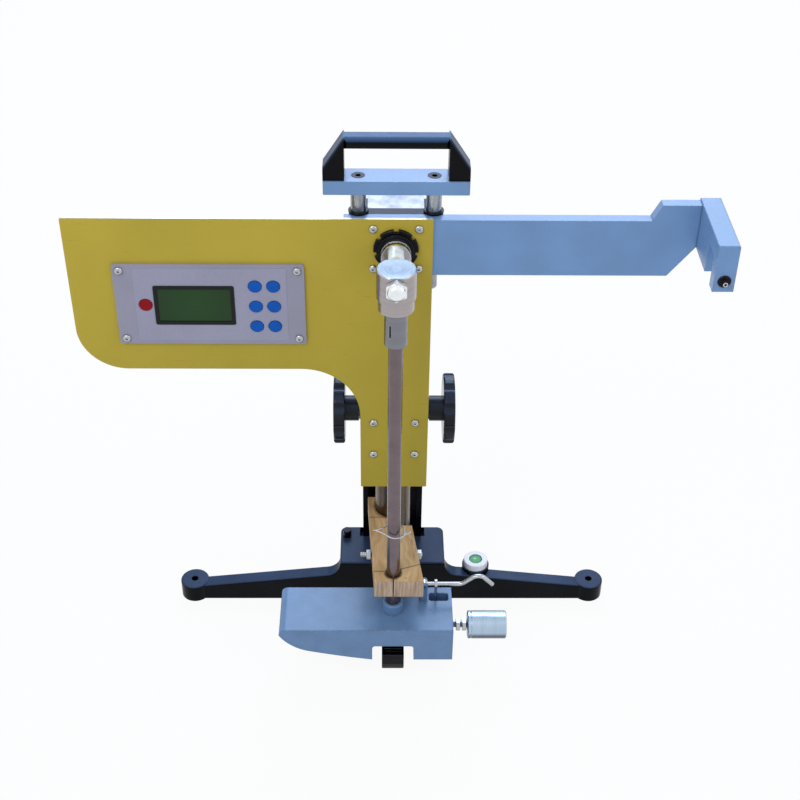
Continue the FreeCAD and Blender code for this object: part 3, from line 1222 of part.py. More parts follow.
def lock_nuts():
    shapes = []
    for x in NUT_X:
        nut = hexagon(NUT_R * math.sqrt(3), (x, ARM_Y, STUD_Z), (x + NUT_T, ARM_Y, STUD_Z))
        shapes.append(nut.cut(rod(STUD_R, (x - 1, ARM_Y, STUD_Z), (x + NUT_T + 1, ARM_Y, STUD_Z))))
    return Part.Compound(shapes)


def balance_weight():
    x0, x1 = WEIGHT_X, WEIGHT_X + WEIGHT_L
    weight = rod(WEIGHT_R, (x0, ARM_Y, STUD_Z), (x1, ARM_Y, STUD_Z))
    ends = edges_where(weight, lambda p: abs(p.x - x0) < 1e-3 or abs(p.x - x1) < 1e-3)
    weight = weight.makeChamfer(1.0, ends)
    return weight.cut(rod(STUD_R + RUN_FIT, (x0 - 1, ARM_Y, STUD_Z), (x1 + 1, ARM_Y, STUD_Z)))


# Transit clamp

def clamp_reach(side, y):
    """How far a half's outer side stands from the slit at this depth: each half tapers."""
    front, rear, back = CLAMP_LEFT_W_FRONT, CLAMP_LEFT_W_BACK, CLAMP_LEFT_BACK
    if side > 0:
        front, rear, back = CLAMP_RIGHT_W_FRONT, CLAMP_RIGHT_W_BACK, CLAMP_RIGHT_BACK
    return front + (y - CLAMP_FRONT) / (back - CLAMP_FRONT) * (rear - front)


def clamp_half(side, back):
    near, low, high = side * CLAMP_SLIT / 2, CLAMP_BOTTOM - 1, CLAMP_TOP + 1
    plan = [(near, CLAMP_FRONT), (side * clamp_reach(side, CLAMP_FRONT), CLAMP_FRONT),
            (side * clamp_reach(side, back), back), (near, back)]
    corners = [V(x, y, CLAMP_BOTTOM) for x, y in plan]
    half = Part.Face(Part.makePolygon(corners + [corners[0]])).extrude(V(0, 0, CLAMP_T))
    reach = side * (clamp_reach(side, CLAMP_BOLT_Y) + 1)
    bolt_r = CLAMP_BOLT_R + SLIDE_FIT * (side > 0)
    return cut(half, [rod(COLUMN_R + SLIDE_FIT, (0, 0, low), (0, 0, high)),
                      rod(ROD_R + SLIDE_FIT, (0, ARM_Y, low), (0, ARM_Y, high)),
                      rod(bolt_r, (0, CLAMP_BOLT_Y, CLAMP_MID), (reach, CLAMP_BOLT_Y, CLAMP_MID))])


def clamp_left():
    return clamp_half(-1, CLAMP_LEFT_BACK)


def clamp_right():
    return clamp_half(1, CLAMP_RIGHT_BACK)


def stud_nut(side, bore):
    """A nut on the clamp's stud, off the slanted wood by enough for its corners."""
    y, z = CLAMP_BOLT_Y, CLAMP_MID
    near = side * (clamp_reach(side, y) + LOOSE_FIT)
    nut = hexagon(CLAMP_NUT_ACROSS, (near, y, z), (near + side * CLAMP_NUT_T, y, z))
    return nut.cut(rod(bore, (near - side, y, z), (near + side * (CLAMP_NUT_T + 1), y, z)))


def clamp_bolt():
    """The stud through both halves with its left nut; both stay with the left half."""
    left, right = -clamp_reach(-1, CLAMP_BOLT_Y), clamp_reach(1, CLAMP_BOLT_Y)
    y, z = CLAMP_BOLT_Y, CLAMP_MID
    stud = rod(CLAMP_BOLT_R, (left - CLAMP_BOLT_OUT, y, z), (right + CLAMP_NUT_T + CLAMP_STUD_END, y, z))
    return Part.Compound([stud, stud_nut(-1, CLAMP_BOLT_R)])


def clamp_nut():
    """The right nut, which goes with the right half when the halves open."""
    return stud_nut(1, CLAMP_BOLT_R + SLIDE_FIT)


def nodes():
    """Every separate piece by the name of its file."""
    pieces = {
        "base_casting": base_casting(), "base_bolt": base_bolt(), "level_housing": level_housing(),
        "level_vial": level_vial(), "column": column(), "column_rack": column_rack(),
        "guide_post": guide_post(),
        "head_body": head_body(), "head_bridge": head_bridge(), "front_panel": front_panel(),
        "panel_screws": panel_screws(), "display_plate": display_plate(), "display_window": display_window(),
        "electronics_cover": electronics_cover(), "circuit_board": circuit_board(),
        "battery_pack": battery_pack(),
        "catch_arm": catch_arm(), "end_block": end_block(), "head_fasteners": head_fasteners(),
        "release_plunger": release_plunger(),
        "handle_pillars": handle_pillars(), "top_plate": top_plate(), "carrying_handle": carrying_handle(),
        "knob_shaft": knob_shaft(), "pinion": pinion(), "left_wheel": hand_wheel(-1),
        "right_wheel": hand_wheel(1),
        "lock_screw": lock_screw(), "lock_knob": lock_knob(), "bearing_housing": bearing_housing(),
        "spindle_bearings": spindle_bearings(), "lock_ring": lock_ring(), "spindle": spindle(), "hub": hub(),
        "hub_nut": hub_nut(), "hub_collar": hub_collar(), "arm_socket": arm_socket(), "arm_tube": arm_tube(),
        "foot_casting": foot_casting(), "pivot_pins": pivot_pins(),
        "slider_spring": slider_spring(), "balance_stud": balance_stud(), "lock_nuts": lock_nuts(),
        "balance_weight": balance_weight(), "slider_arm": slider_arm(), "slider_holder": slider_holder(),
        "rubber_slider": rubber_slider(), "lifting_lever": lifting_lever(), "pull_pin": pull_pin(),
        "clamp_left": clamp_left(), "clamp_right": clamp_right(), "clamp_bolt": clamp_bolt(),
        "clamp_nut": clamp_nut(),
    }
    for i, (x, z) in enumerate(key_places()):
        pieces["key_red" if i == 0 else f"key_blue_{i}"] = key(x, z)
    return pieces


os.makedirs("parts", exist_ok=True)
for name, shape in nodes().items():
    shape.exportStep(f"parts/{name}.step")
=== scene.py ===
import functools
import math

import bmesh
import bpy
from bpy.props import FloatProperty, FloatVectorProperty, IntProperty, PointerProperty
from mathutils import Matrix, Vector


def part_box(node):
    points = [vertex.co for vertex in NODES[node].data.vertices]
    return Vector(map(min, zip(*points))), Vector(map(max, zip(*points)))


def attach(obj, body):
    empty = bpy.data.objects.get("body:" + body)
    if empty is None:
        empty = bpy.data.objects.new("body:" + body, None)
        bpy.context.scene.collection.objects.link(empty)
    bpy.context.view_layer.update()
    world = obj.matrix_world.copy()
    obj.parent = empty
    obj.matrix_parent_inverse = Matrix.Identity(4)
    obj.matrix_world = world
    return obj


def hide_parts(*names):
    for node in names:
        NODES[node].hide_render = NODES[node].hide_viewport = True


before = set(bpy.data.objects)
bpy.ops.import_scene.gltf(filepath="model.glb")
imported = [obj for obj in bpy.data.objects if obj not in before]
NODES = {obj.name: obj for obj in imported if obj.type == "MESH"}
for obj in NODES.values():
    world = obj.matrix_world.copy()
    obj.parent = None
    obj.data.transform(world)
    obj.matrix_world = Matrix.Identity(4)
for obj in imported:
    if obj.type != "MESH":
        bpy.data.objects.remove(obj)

bl_info = {
    "name": "Pendulum Tester Looks",
    "version": (1, 0, 0),
    "blender": (4, 5, 0),
    "location": "3D View > Sidebar > Tester",
    "description": "Dresses the packed pendulum skid resistance tester with materials and fine parts",
    "category": "Object",
}

MM = 0.001
ARM_AXIS = (0.0, -115.5)  # the pendulum arm, from above, in millimetres
# The camera fitted to the photo: millimetres and degrees
PHOTO_VIEW = {
    "place": (-15.45, -1242.3, 1223.95), "down": 36.92, "turn": 1.04, "roll": 0.76,
    "lens": 61.676, "sensor": 36.0,
}
# Name, place, aim and side in metres, watts and colour of each lamp
LAMPS = (
    # The sky stands behind the object, so that top faces mirror it to the camera
    ("sky_box", (0.2, 2.1, 2.1), (0, 0, 0.25), 1.8, 48, "C6DCFF"),
    ("key_box", (-0.9, -1.35, 2.0), (0, 0, 0.45), 1.1, 13, "FFFFFF"),
    ("side_box", (1.9, -0.8, 1.6), (0, 0, 0.4), 1.1, 6, "F8FAFF"),
)
FLOOR_HALF = 30  # metres
FLOOR_WHITE = 0.93  # share of plain white that the camera sees in the floor
STUDIO_LIGHT = 0.5

# Profiles of small turned pieces, as (radius, height) in millimetres
BUBBLE = [(1.7, 0), (1.7, 0.2), (1.3, 0.35), (0, 0.35)]
DOME_SCREW = [(0, 0.5), (1.5, 0.5), (1.5, 1.5), (2.4, 1.4), (3.2, 0.9), (3.5, 0), (0, 0)]
WHEEL_PLUG = [(9.5, 0), (9.5, 0.3), (9.0, 0.5), (3.2, 0.5), (2.6, 0.1), (0, 0.1)]

SCREW_INSET = 11  # of the electronics cover's screws
# Left, bottom, right and top from the cover's corner, and corner radius
BATTERY_DOOR = (26, 12, 128, 50, 3)
DOOR_GRIP = (66, 40, 88, 44, 1.9)

# Margins of the display's film and bezel
FILM_LEFT, FILM_RIGHT, FILM_ABOVE = 20.1, 18.1, 4.2
FILM_CORNER = 1.5
FILM_CLEARANCE = 2.4
BEZEL_OUT, BEZEL_IN = 2.3, 1.6
BEZEL_THICK = 0.9
KEY_HOLE = 7.3

# Two packing rings on the spindle's flange: inner and outer radius, thickness and softened edge
SPINDLE_HEIGHT = 523
PACKING_FRONTS = (-67.4, -73.0)
PACKING_RING = (14.4, 15.07, 1.3, 0.05)

# Points that steer the tie wire, from the arm's axis and the ground, below the end block that catches the arm
TIE_WIRES = {
    "tie_wire": [(-22, 0.5, 197), (-11.5, -4, 196.5), (-4, -10.6, 195), (4, -10.6, 193.5), (11.5, -5, 195),
                 (11.5, 6, 196), (3, 10.8, 196.5), (-7, 9.6, 196.5), (-12, 3, 196), (-23, 2.2, 194.6)],
    "tie_twist_1": [(6, -10.4, 193), (10, -8, 194.5), (12.6, -6, 196), (16, -4, 195.5), (19, -3, 197.5)],
    "tie_twist_2": [(7, -10.0, 195.5), (10.4, -7.2, 194.2), (12.2, -6.8, 196.5), (12, -6, 197.5), (14, -5, 198)],
}

NUT_GAP = 2  # between the two lock nuts
STUD_THREAD = 0.55  # depth of its thread
CLAMP_THREAD_R, CLAMP_THREAD = 3.0, 0.4  # its radius and depth
CLAMP_NUT_START, CLAMP_NUT_THICK = 7, 5
COIL_GAUGE, COIL_TURNS, COIL_STEPS = 0.7, 6, 12


def srgb(code):
    """Linear colour of an sRGB hex code such as 7FA6D6."""
    parts = [int(code[i : i + 2], 16) / 255 for i in (0, 2, 4)]
    return tuple(c / 12.92 if c <= 0.04045 else ((c + 0.055) / 1.055) ** 2.4 for c in parts)


def colour_setting(name, description, code):
    """A colour that a user can change."""
    return FloatVectorProperty(
        name=name, description=description, default=srgb(code), size=3, min=0, max=1, subtype="COLOR"
    )


def length_setting(name, description, size, low, high):
    """A length that a user can change, given in millimetres."""
    return FloatProperty(
        name=name, description=description, default=size * MM, min=low * MM, max=high * MM,
        unit="LENGTH", subtype="DISTANCE",
    )


class TesterLook(bpy.types.PropertyGroup):
    """Sizes and colours that the pieces are dressed with."""

    arm_paint: colour_setting("Arm paint", "Light blue enamel of the catch arm, top plate and foot", "7BA3D2")
    panel_paint: colour_setting("Panel paint", "Mustard enamel of the front panel", "CFB842")
    base_paint: colour_setting("Base paint", "Black enamel of the base casting", "07090D")
    display_paint: colour_setting("Display paint", "Satin enamel of the display plate", "A5A2B4")
    film_colour: colour_setting("Film", "Printed film over the display plate", "A8A7BC")
    glass_colour: colour_setting("Display glass", "Unlit liquid crystal behind its window", "12400F")
    blue_key: colour_setting("Blue key", "Six blue keys", "0558B4")
    red_key: colour_setting("Red key", "Red key", "940814")
    wood_colour: colour_setting("Wood", "Sawn hardwood of the transit clamp", "EAC894")
    wheel_colour: colour_setting("Hand wheel", "Moulded phenolic of the wheels and the lock knob", "0D121B")
    edge_round: length_setting("Edge rounding", "Radius that the light sees on machined edges", 0.5, 0.05, 3)
    film_gauge: length_setting("Film thickness", "Thickness of the printed film", 0.2, 0.1, 1)
    stud_pitch: length_setting("Stud pitch", "Pitch of the balance stud's thread", 1.25, 0.5, 3)
    bolt_pitch: length_setting("Bolt pitch", "Pitch of the clamp stud's thread", 1.0, 0.5, 3)
    wire_radius: length_setting("Tie wire radius", "Radius of the tie wire", 0.8, 0.2, 2)
    key_crown: length_setting("Key crown", "How far a key's face is crowned", 0.45, 0, 1)
    turning_steps: IntProperty(name="Turning steps", description="Segments round each turned piece",
                               default=72, min=16, max=256)


def look():
    """The sizes and colours as the user has set them."""
    return bpy.context.scene.tester_look


# Shader building

def add(tree, kind, values=None, out=None, **settings):
    """Adds a shader node with its settings, values and links. Gives back the node or one of its outputs."""
    node = tree.nodes.new("ShaderNode" + kind)
    for name, value in settings.items():
        setattr(node, name, value)
    for key, value in (values or {}).items():
        socket = node.inputs[key]
        if isinstance(value, bpy.types.NodeSocket):
            tree.links.new(value, socket)
        else:
            socket.default_value = (*value, 1) if socket.type == "RGBA" else value
    return node if out is None else node.outputs[out]


def new_material(name, *patterns, **values):
    """A material, the function that adds nodes to it, its shader, each point's place in metres, and a noise
    for each pattern's size in millimetres and detail."""
    material = bpy.data.materials.new(name)
    material.use_nodes = True
    node = functools.partial(add, material.node_tree)
    shader = material.node_tree.nodes["Principled BSDF"]
    for key, value in values.items():
        shader.inputs[key.replace("_", " ")].default_value = value
    place = node("TexCoord", out="Object")
    noises = [node("TexNoise", {"Vector": place, "Scale": per(size), "Detail": detail}, "Fac")
              for size, detail in patterns]
    return material, node, shader, place, *noises


def feed(shader, sockets):
    """Links outputs to the shader's inputs of those names."""
    for name, output in sockets.items():
        shader.id_data.links.new(output, shader.inputs[name])


def per(size):
    """Texture scale at which a pattern repeats about every size millimetres."""
    return 1 / (size * MM)


def edge_wear_and_highlight(node, size, most=1.0):
    """Share of wear and painted highlight: most on outer edges within about size millimetres, 0 on flat faces.
    """
    soft = node("Bevel", {"Radius": size * MM}, 0, samples=4)
    hard = node("NewGeometry", out="Normal")
    turned = node("VectorMath", {0: soft, 1: hard}, "Value", operation="DOT_PRODUCT")
    return node("MapRange", {0: turned, 1: 0.97, 2: 0.75, 4: most}, 0)


def recess(node, reach, dark=1.0):
    """Share of painted shade and dirt: dark in sockets and joints narrower than reach millimetres, 0 in the
    open.
    """
    free = node("AmbientOcclusion", {"Distance": reach * MM}, "AO", samples=6)
    return node("MapRange", {0: free, 1: 0.75, 2: 0.3, 4: dark}, 0)


def relief(node, shader, height, depth, rounding=None):
    """Bump of depth millimetres over edges that catch the light as if rounded."""
    radius = look().edge_round if rounding is None else rounding * MM
    soft = node("Bevel", {"Radius": radius}, 0, samples=4)
    feed(shader, {"Normal": node("Bump", {"Height": height, "Distance": depth * MM, "Normal": soft}, 0)})


def dimmed(colour, share):
    """The colour at that share of its light."""
    return tuple(c * share for c in colour)


def layered(node, colour, *layers):
    """Lays tints over a colour in turn, each as far as its share says."""
    for share, tint in layers:
        tint = srgb(tint) if isinstance(tint, str) else tint
        colour = node("Mix", {0: share, 6: colour, 7: tint}, 2, data_type="RGBA")
    return colour


def glossed(node, shader, colour, grain, low, high):
    """Gives the shader its colour, and a roughness from low to high that follows the grain."""
    gloss = node("MapRange", {0: grain, 1: 0.3, 2: 0.7, 3: low, 4: high}, 0)
    feed(shader, {"Base Color": colour, "Roughness": gloss})


def painted_sky_sheen(node, colour, share, tint):
    """Lays a painted bluish sky reflection over a colour, on faces that look upward."""
    facing = node("SeparateXYZ", {0: node("TexCoord", out="Normal")}, "Z")
    upward = node("MapRange", {0: facing, 1: 0.3, 2: 0.85}, 0)
    dust_and_sheen = node("Math", {0: upward, 1: share}, 0, operation="MULTIPLY")
    return layered(node, colour, (dust_and_sheen, tint))


def painted_underside_shade(node, colour, start, end, share, tint="3F3B40"):
    """Darkens faces that look down with painted shade: none at the normal's start height, all at its end."""
    facing = node("SeparateXYZ", {0: node("TexCoord", out="Normal")}, "Z")
    under = node("MapRange", {0: facing, 1: start, 2: end, 4: share}, 0)
    return layered(node, colour, (under, tint))


# Painted castings and sheet

def black_enamel():
    """Glossy black enamel over sand-cast iron: top faces carry a painted bluish sky reflection, edges a painted
    highlight with some wear, and the skin is lumpy.
    """
    m, node, shader, _, lumps, skin, cloud = new_material(
        "black enamel on cast iron", (26, 3), (2.4, 3), (60, 4), Specular_IOR_Level=0.07)
    paint = look().base_paint
    dust_and_sheen = node("MapRange", {0: cloud, 1: 0.5, 2: 0.78, 4: 0.2}, 0)
    # Painted bluish sky reflection on upward faces, patchy with the cloud noise
    sky_sheen_share = node("MapRange", {0: cloud, 1: 0.3, 2: 0.7, 3: 0.65, 4: 1.0}, 0)
    colour = painted_sky_sheen(node, layered(node, paint, (dust_and_sheen, "2C323C")), sky_sheen_share, "3A4C6A")
    # Edges lighter from wear and a painted highlight, broken up by the lumps
    worn_and_highlit = node("Math", {0: edge_wear_and_highlight(node, 1.2), 1: lumps}, 0, operation="MULTIPLY")
    colour = layered(node, colour, (worn_and_highlit, "4A5160"))
    glossed(node, shader, colour, lumps, 0.18, 0.3)
    relief(node, shader, node("Math", {0: lumps, 1: 3.0, 2: skin}, 0, operation="MULTIPLY_ADD"), 0.12, 1.4)
    return m


def blue_enamel(name, cast):
    """Light blue air-dried enamel. On a casting it fills the sand texture, on bar it lies flat."""
    m, node, shader, _, lumps, skin, spots = new_material(
        name, (24 if cast else 60, 3), (1.8, 2), (3.5, 4),
        Specular_IOR_Level=0.35, Coat_Weight=0.15, Coat_Roughness=0.15)
    # Painted shade: the casting is drawn in a darker copy of the same enamel as the bar
    paint = dimmed(look().arm_paint, 0.78 if cast else 1)
    shade = node("MapRange", {0: lumps, 1: 0.35, 2: 0.7}, 0)
    chipped = node("MapRange", {0: spots, 1: 0.53, 2: 0.62}, 0)
    chips = node("Math", {0: edge_wear_and_highlight(node, 0.8), 1: chipped}, 0, operation="MULTIPLY")
    # Painted shade and dirt in the joints
    joints = recess(node, 4, 0.7)
    colour = layered(node, paint, (shade, dimmed(paint, 0.86)), (chips, "D9E2EA"), (joints, "1E2A3C"))
    glossed(node, shader, colour, skin, 0.26, 0.36)
    body = node("Math", {0: lumps, 1: 4.0 if cast else 0.5, 2: skin}, 0, operation="MULTIPLY_ADD")
    relief(node, shader, body, 0.10 if cast else 0.02, 2.2 if cast else 0.9)
    return m


def mustard_enamel():
    """Mustard stove enamel on aluminium sheet, with the sawn edge left bare so that it shines white."""
    m, node, shader, place, cloud, peel = new_material(
        "mustard enamel on aluminium sheet", (110, 4), (2.2, 1), Specular_IOR_Level=0.2)
    paint = look().panel_paint
    shade = node("MapRange", {0: cloud, 1: 0.3, 2: 0.7}, 0)
    # Painted shade: the panel turns darker and browner towards the bottom
    height = node("SeparateXYZ", {0: place}, "Z")
    low = node("MapRange", {0: height, 1: 0.50, 2: 0.22, 4: 0.5}, 0)
    lower_shade_tint = tuple(c * k for c, k in zip(paint, (0.62, 0.64, 0.5)))
    drawn = node("Mapping", {"Vector": place, "Scale": (0.11, 1, 1)}, 0)
    scratch = node("TexNoise", {"Vector": drawn, "Scale": per(2.2), "Detail": 5}, "Fac")
    marks = node("MapRange", {0: scratch, 1: 0.66, 2: 0.74, 4: 0.22}, 0)
    facing = node("SeparateXYZ", {0: node("TexCoord", out="Normal")}, "Y")
    side = node("Math", {0: facing}, 0, operation="ABSOLUTE")
    bare = node("MapRange", {0: side, 1: 0.9, 2: 0.6}, 0)
    colour = layered(node, paint, (shade, dimmed(paint, 0.88)), (low, lower_shade_tint))
    colour = layered(node, colour, (marks, "8C7F38"), (bare, "E0E3E6"))
    feed(shader, {"Metallic": bare})
    glossed(node, shader, colour, peel, 0.32, 0.42)
    relief(node, shader, node("Math", {0: marks, 1: -3.0, 2: peel}, 0, operation="MULTIPLY_ADD"), 0.02, 0.4)
    return m


def satin_enamel(name, paint, peel_size=1.6, low=0.34, high=0.44, wear_and_highlight="C9CBD6"):
    """Satin enamel on sheet: an even colour with orange peel, and a light line along each edge that is partly
    wear and partly a painted highlight.
    """
    m, node, shader, _, cloud, peel = new_material(name, (45, 3), (peel_size, 1), Specular_IOR_Level=0.3)
    shade = node("MapRange", {0: cloud, 1: 0.3, 2: 0.7}, 0)
    colour = layered(node, paint, (shade, dimmed(paint, 0.92)), (edge_wear_and_highlight(node, 0.5, 0.7), wear_and_highlight))
    glossed(node, shader, colour, peel, low, high)
    relief(node, shader, peel, 0.015, 0.5)
    return m


# Metals

def metal(name, tint, low, high, stain_size=18, wear_and_highlight=None, drawn=(1, 1, 1), shade=0.8, shade_and_dirt=0.85):
    """A worked metal: soft stains, edges brightened by wear and a painted highlight, painted shade on faces that
    look down, painted shade and dirt in sockets, and marks drawn along the bar.
    """
    m, node, shader, place, stain = new_material(name, (stain_size, 3), Metallic=1.0)
    base = srgb(tint)
    spread = node("Mapping", {"Vector": place, "Scale": drawn}, 0)
    marks = node("TexNoise", {"Vector": spread, "Scale": per(1.6), "Detail": 3}, "Fac")
    tone = node("MapRange", {0: stain, 1: 0.4, 2: 0.75}, 0)
    colour = layered(node, base, (tone, dimmed(base, shade)))
    if wear_and_highlight:
        colour = layered(node, colour, (edge_wear_and_highlight(node, 0.7, 0.85), wear_and_highlight))
    # Painted shade on faces that look down
    colour = painted_underside_shade(node, colour, -0.1, -0.7, 0.75)
    # Painted shade and dirt in the sockets
    colour = layered(node, colour, (recess(node, 1.6, shade_and_dirt), "17171A"))
    glossed(node, shader, colour, marks, low, high)
    relief(node, shader, marks, 0.004)
    return m


def turned_metal(name, tint, low, high, centre, axis, wear_and_highlight="F4F5F6", dark="8E8A90"):
    """Turned steel: fine rings round the lathe's axis, a bright rim from wear and a painted highlight, painted
    shade on faces that look down and in recesses with some dirt, and a sheen that varies ring by ring.
    """
    m, node, shader, place = new_material(name, Metallic=1.0)
    away = node("VectorMath", {0: place, 1: tuple(c * MM for c in centre)}, 0, operation="SUBTRACT")
    across = tuple(0 if k == axis else 1 for k in range(3))
    along = tuple(1 if k == axis else 0 for k in range(3))
    flat = node("VectorMath", {0: away, 1: across}, 0, operation="MULTIPLY")
    radius = node("VectorMath", {0: flat}, "Value", operation="LENGTH")
    height = node("VectorMath", {0: away, 1: along}, "Value", operation="DOT_PRODUCT")
    ring = node("CombineXYZ", {"X": radius, "Z": height}, 0)
    # Tool marks of 0.2 mm are drawn 1.3 mm wide, as coarse as the picture can show
    tool, band = (node("TexNoise", {"Vector": ring, "Scale": per(size), "Detail": detail}, "Fac")
                  for size, detail in ((1.3, 2), (7, 2)))
    tone = node("MapRange", {0: band, 1: 0.35, 2: 0.7, 4: 0.3}, 0)
    # End faces were cut last and stay brighter than the turned side
    normal = node("TexCoord", out="Normal")
    faced = node("VectorMath", {0: normal, 1: along}, "Value", operation="DOT_PRODUCT")
    end_face = node("MapRange", {0: node("Math", {0: faced}, 0, operation="ABSOLUTE"), 1: 0.7, 2: 0.95}, 0)
    colour = layered(node, srgb(tint), (tone, dark), (end_face, wear_and_highlight))
    # Painted shade on faces that look down
    colour = painted_underside_shade(node, colour, 0.12, -0.2, 0.85)
    # Edges brighter from wear and a painted highlight; painted shade and dirt in recesses
    colour = layered(node, colour, (edge_wear_and_highlight(node, 0.9, 0.7), wear_and_highlight), (recess(node, 3, 0.95), "1A1A1D"))
    glossed(node, shader, colour, tool, low, high)
    relief(node, shader, tool, 0.004, 0.6)
    return m


def cast_aluminium():
    """Bare sand-cast aluminium, dull and pitted, as on the top of the head."""
    m, node, shader, _, stain, sand = new_material("sand-cast aluminium", (14, 5), (1.6, 3), Metallic=1.0)
    tone = node("MapRange", {0: stain, 1: 0.35, 2: 0.7}, 0)
    # Painted shade and dirt in recesses
    colour = layered(node, srgb("BFC1C6"), (tone, "94979E"), (recess(node, 5, 0.8), "26272B"))
    glossed(node, shader, colour, sand, 0.5, 0.66)
    relief(node, shader, node("Math", {0: stain, 1: 2.0, 2: sand}, 0, operation="MULTIPLY_ADD"), 0.12, 0.9)
    return m


# Plastics, glass, rubber and wood

def moulded(name, colour, low, high, spark=1.2, depth=0.01, coat=0.0, wear_and_highlight="30343C", mirror=0.2, dust_and_sheen=None):
    """Moulded plastic: flow clouds in the gloss, a spark-eroded grain, edges paler from wear and a painted
    highlight, and a painted bluish sky reflection on upward faces where asked.
    """
    m, node, shader, _, flow, grain = new_material(
        name, (16, 3), (spark, 2), Specular_IOR_Level=mirror, Coat_Weight=coat, Coat_Roughness=0.06)
    tone = node("MapRange", {0: flow, 1: 0.3, 2: 0.7}, 0)
    pale = tuple(min(1, c * 1.25 + 0.001) for c in colour)
    colour = layered(node, colour, (tone, pale))
    # Painted bluish sky reflection on upward faces
    if dust_and_sheen:
        colour = painted_sky_sheen(node, colour, 0.9, dust_and_sheen)
    colour = layered(node, colour, (edge_wear_and_highlight(node, 0.5, 0.4), wear_and_highlight))
    glossed(node, shader, colour, flow, low, high)
    relief(node, shader, grain, depth, 0.6)
    return m


def lcd():
    """Unlit liquid crystal under a glossy window: dark green, and a little lighter towards the middle."""
    m, node, shader, place, dots = new_material(
        "liquid crystal under glass", (0.8, 1), Specular_IOR_Level=0.2, Coat_Weight=0.2, Coat_Roughness=0.03)
    low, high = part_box("display_window")
    away = node("VectorMath", {0: place, 1: tuple((low + high) / 2)}, "Value", operation="DISTANCE")
    middle = node("MapRange", {0: away, 1: 0.004, 2: 0.042}, 0)
    glass = look().glass_colour
    colour = layered(node, dimmed(glass, 1.15), (middle, dimmed(glass, 0.8)))
    glossed(node, shader, colour, dots, 0.16, 0.22)
    relief(node, shader, dots, 0.002, 0.3)
    return m


def rubber():
    """Vulcanised test rubber: dark, matt, and greyed where it strikes."""
    m, node, shader, place, dust_and_sheen, skin = new_material("vulcanised test rubber", (4, 4), (1, 3))
    height = node("SeparateXYZ", {0: place}, "Z")
    used = node("MapRange", {0: height, 1: 0.0178, 2: 0.0155}, 0)
    spread = node("Math", {0: used, 1: dust_and_sheen}, 0, operation="MULTIPLY")
    colour = layered(node, srgb("1B1B1C"), (spread, "77726A"))
    glossed(node, shader, colour, skin, 0.62, 0.8)
    relief(node, shader, skin, 0.05, 0.4)
    return m


def hardwood(name, shift, lines, marks):
    """Sawn pale hardwood: grain along the block, pores, saw marks, pencil lines and dark spots round its holes,
    the one round the column a painted shadow.
    """
    m, node, shader, place, waver = new_material(name, (5, 3), Specular_IOR_Level=0.3)
    base = look().wood_colour
    moved = node("VectorMath", {0: place, 1: shift}, 0, operation="ADD")
    warp = node("TexNoise", {"Vector": moved, "Scale": per(55), "Detail": 2}, "Color")
    bent = node("VectorMath", {0: warp, 1: (0.03, 0.03, 0.03), 2: moved}, 0, operation="MULTIPLY_ADD")
    ring_way = node("Mapping", {"Vector": bent, "Scale": (1, 0.033, 0.6)}, 0)
    rings = node("TexNoise", {"Vector": ring_way, "Scale": per(7), "Detail": 3}, "Fac")
    pore_way = node("Mapping", {"Vector": moved, "Scale": (1, 0.06, 1)}, 0)
    pores = node("TexNoise", {"Vector": pore_way, "Scale": per(1.3), "Detail": 2}, "Fac")
    late = node("MapRange", {0: rings, 1: 0.35, 2: 0.68}, 0)
    late_tint = tuple(c * k for c, k in zip(base, (0.66, 0.56, 0.46)))
    open_pores = node("MapRange", {0: pores, 1: 0.58, 2: 0.74, 4: 0.5}, 0)
    colour = layered(node, base, (late, late_tint), (open_pores, "7A5836"))
    streak_way = node("Mapping", {"Vector": moved, "Scale": (1, 1, 0.05)}, 0)
    streaks = node("TexNoise", {"Vector": streak_way, "Scale": per(2.2), "Detail": 4}, "Fac")
    streaked = node("MapRange", {0: streaks, 1: 0.35, 2: 0.65}, 0)
    normal = node("TexCoord", out="Normal")
    for axis, tone, dark in (("Y", "D2BCAA", "A08A78"), ("X", "C9AC8C", "A28566")):
        # Sawn end and side faces show upright streaks
        facing = node("Math", {0: node("SeparateXYZ", {0: normal}, axis)}, 0, operation="ABSOLUTE")
        share = node("MapRange", {0: facing, 1: 0.6, 2: 0.9, 4: 0.75}, 0)
        colour = layered(node, colour, (share, layered(node, srgb(tone), (streaked, dark))))
    for across, offset in lines:
        along = node("VectorMath", {0: place, 1: (*across, 0)}, "Value", operation="DOT_PRODUCT")
        near = node("Math", {0: node("Math", {0: along, 1: offset * MM}, 0, operation="SUBTRACT")}, 0,
                    operation="ABSOLUTE")
        line = node("MapRange", {0: near, 1: 0.0011, 2: 0.0004, 4: 0.7}, 0)
        colour = layered(node, colour, (line, "4A382A"))
    flat = node("VectorMath", {0: place, 1: (1, 1, 0)}, 0, operation="MULTIPLY")
    for x, y, reach, spot_colour, strength in marks:
        away = node("VectorMath", {0: flat, 1: (x * MM, y * MM, 0)}, "Value", operation="DISTANCE")
        ragged = node("Math", {0: waver, 1: 0.004, 2: away}, 0, operation="MULTIPLY_ADD")
        rim, core = (reach + 2.8) * MM, (reach + 0.6) * MM
        spot = node("MapRange", {0: ragged, 1: rim, 2: core, 4: strength}, 0)
        colour = layered(node, colour, (spot, spot_colour))
    saw_way = node("Mapping", {"Vector": place, "Scale": (0.12, 1, 1)}, 0)
    saw = node("TexNoise", {"Vector": saw_way, "Scale": per(1.6), "Detail": 2}, "Fac")
    glossed(node, shader, colour, pores, 0.6, 0.76)
    relief(node, shader, node("Math", {0: saw, 1: 0.6, 2: pores}, 0, operation="MULTIPLY_ADD"), 0.12, 0.8)
    return m


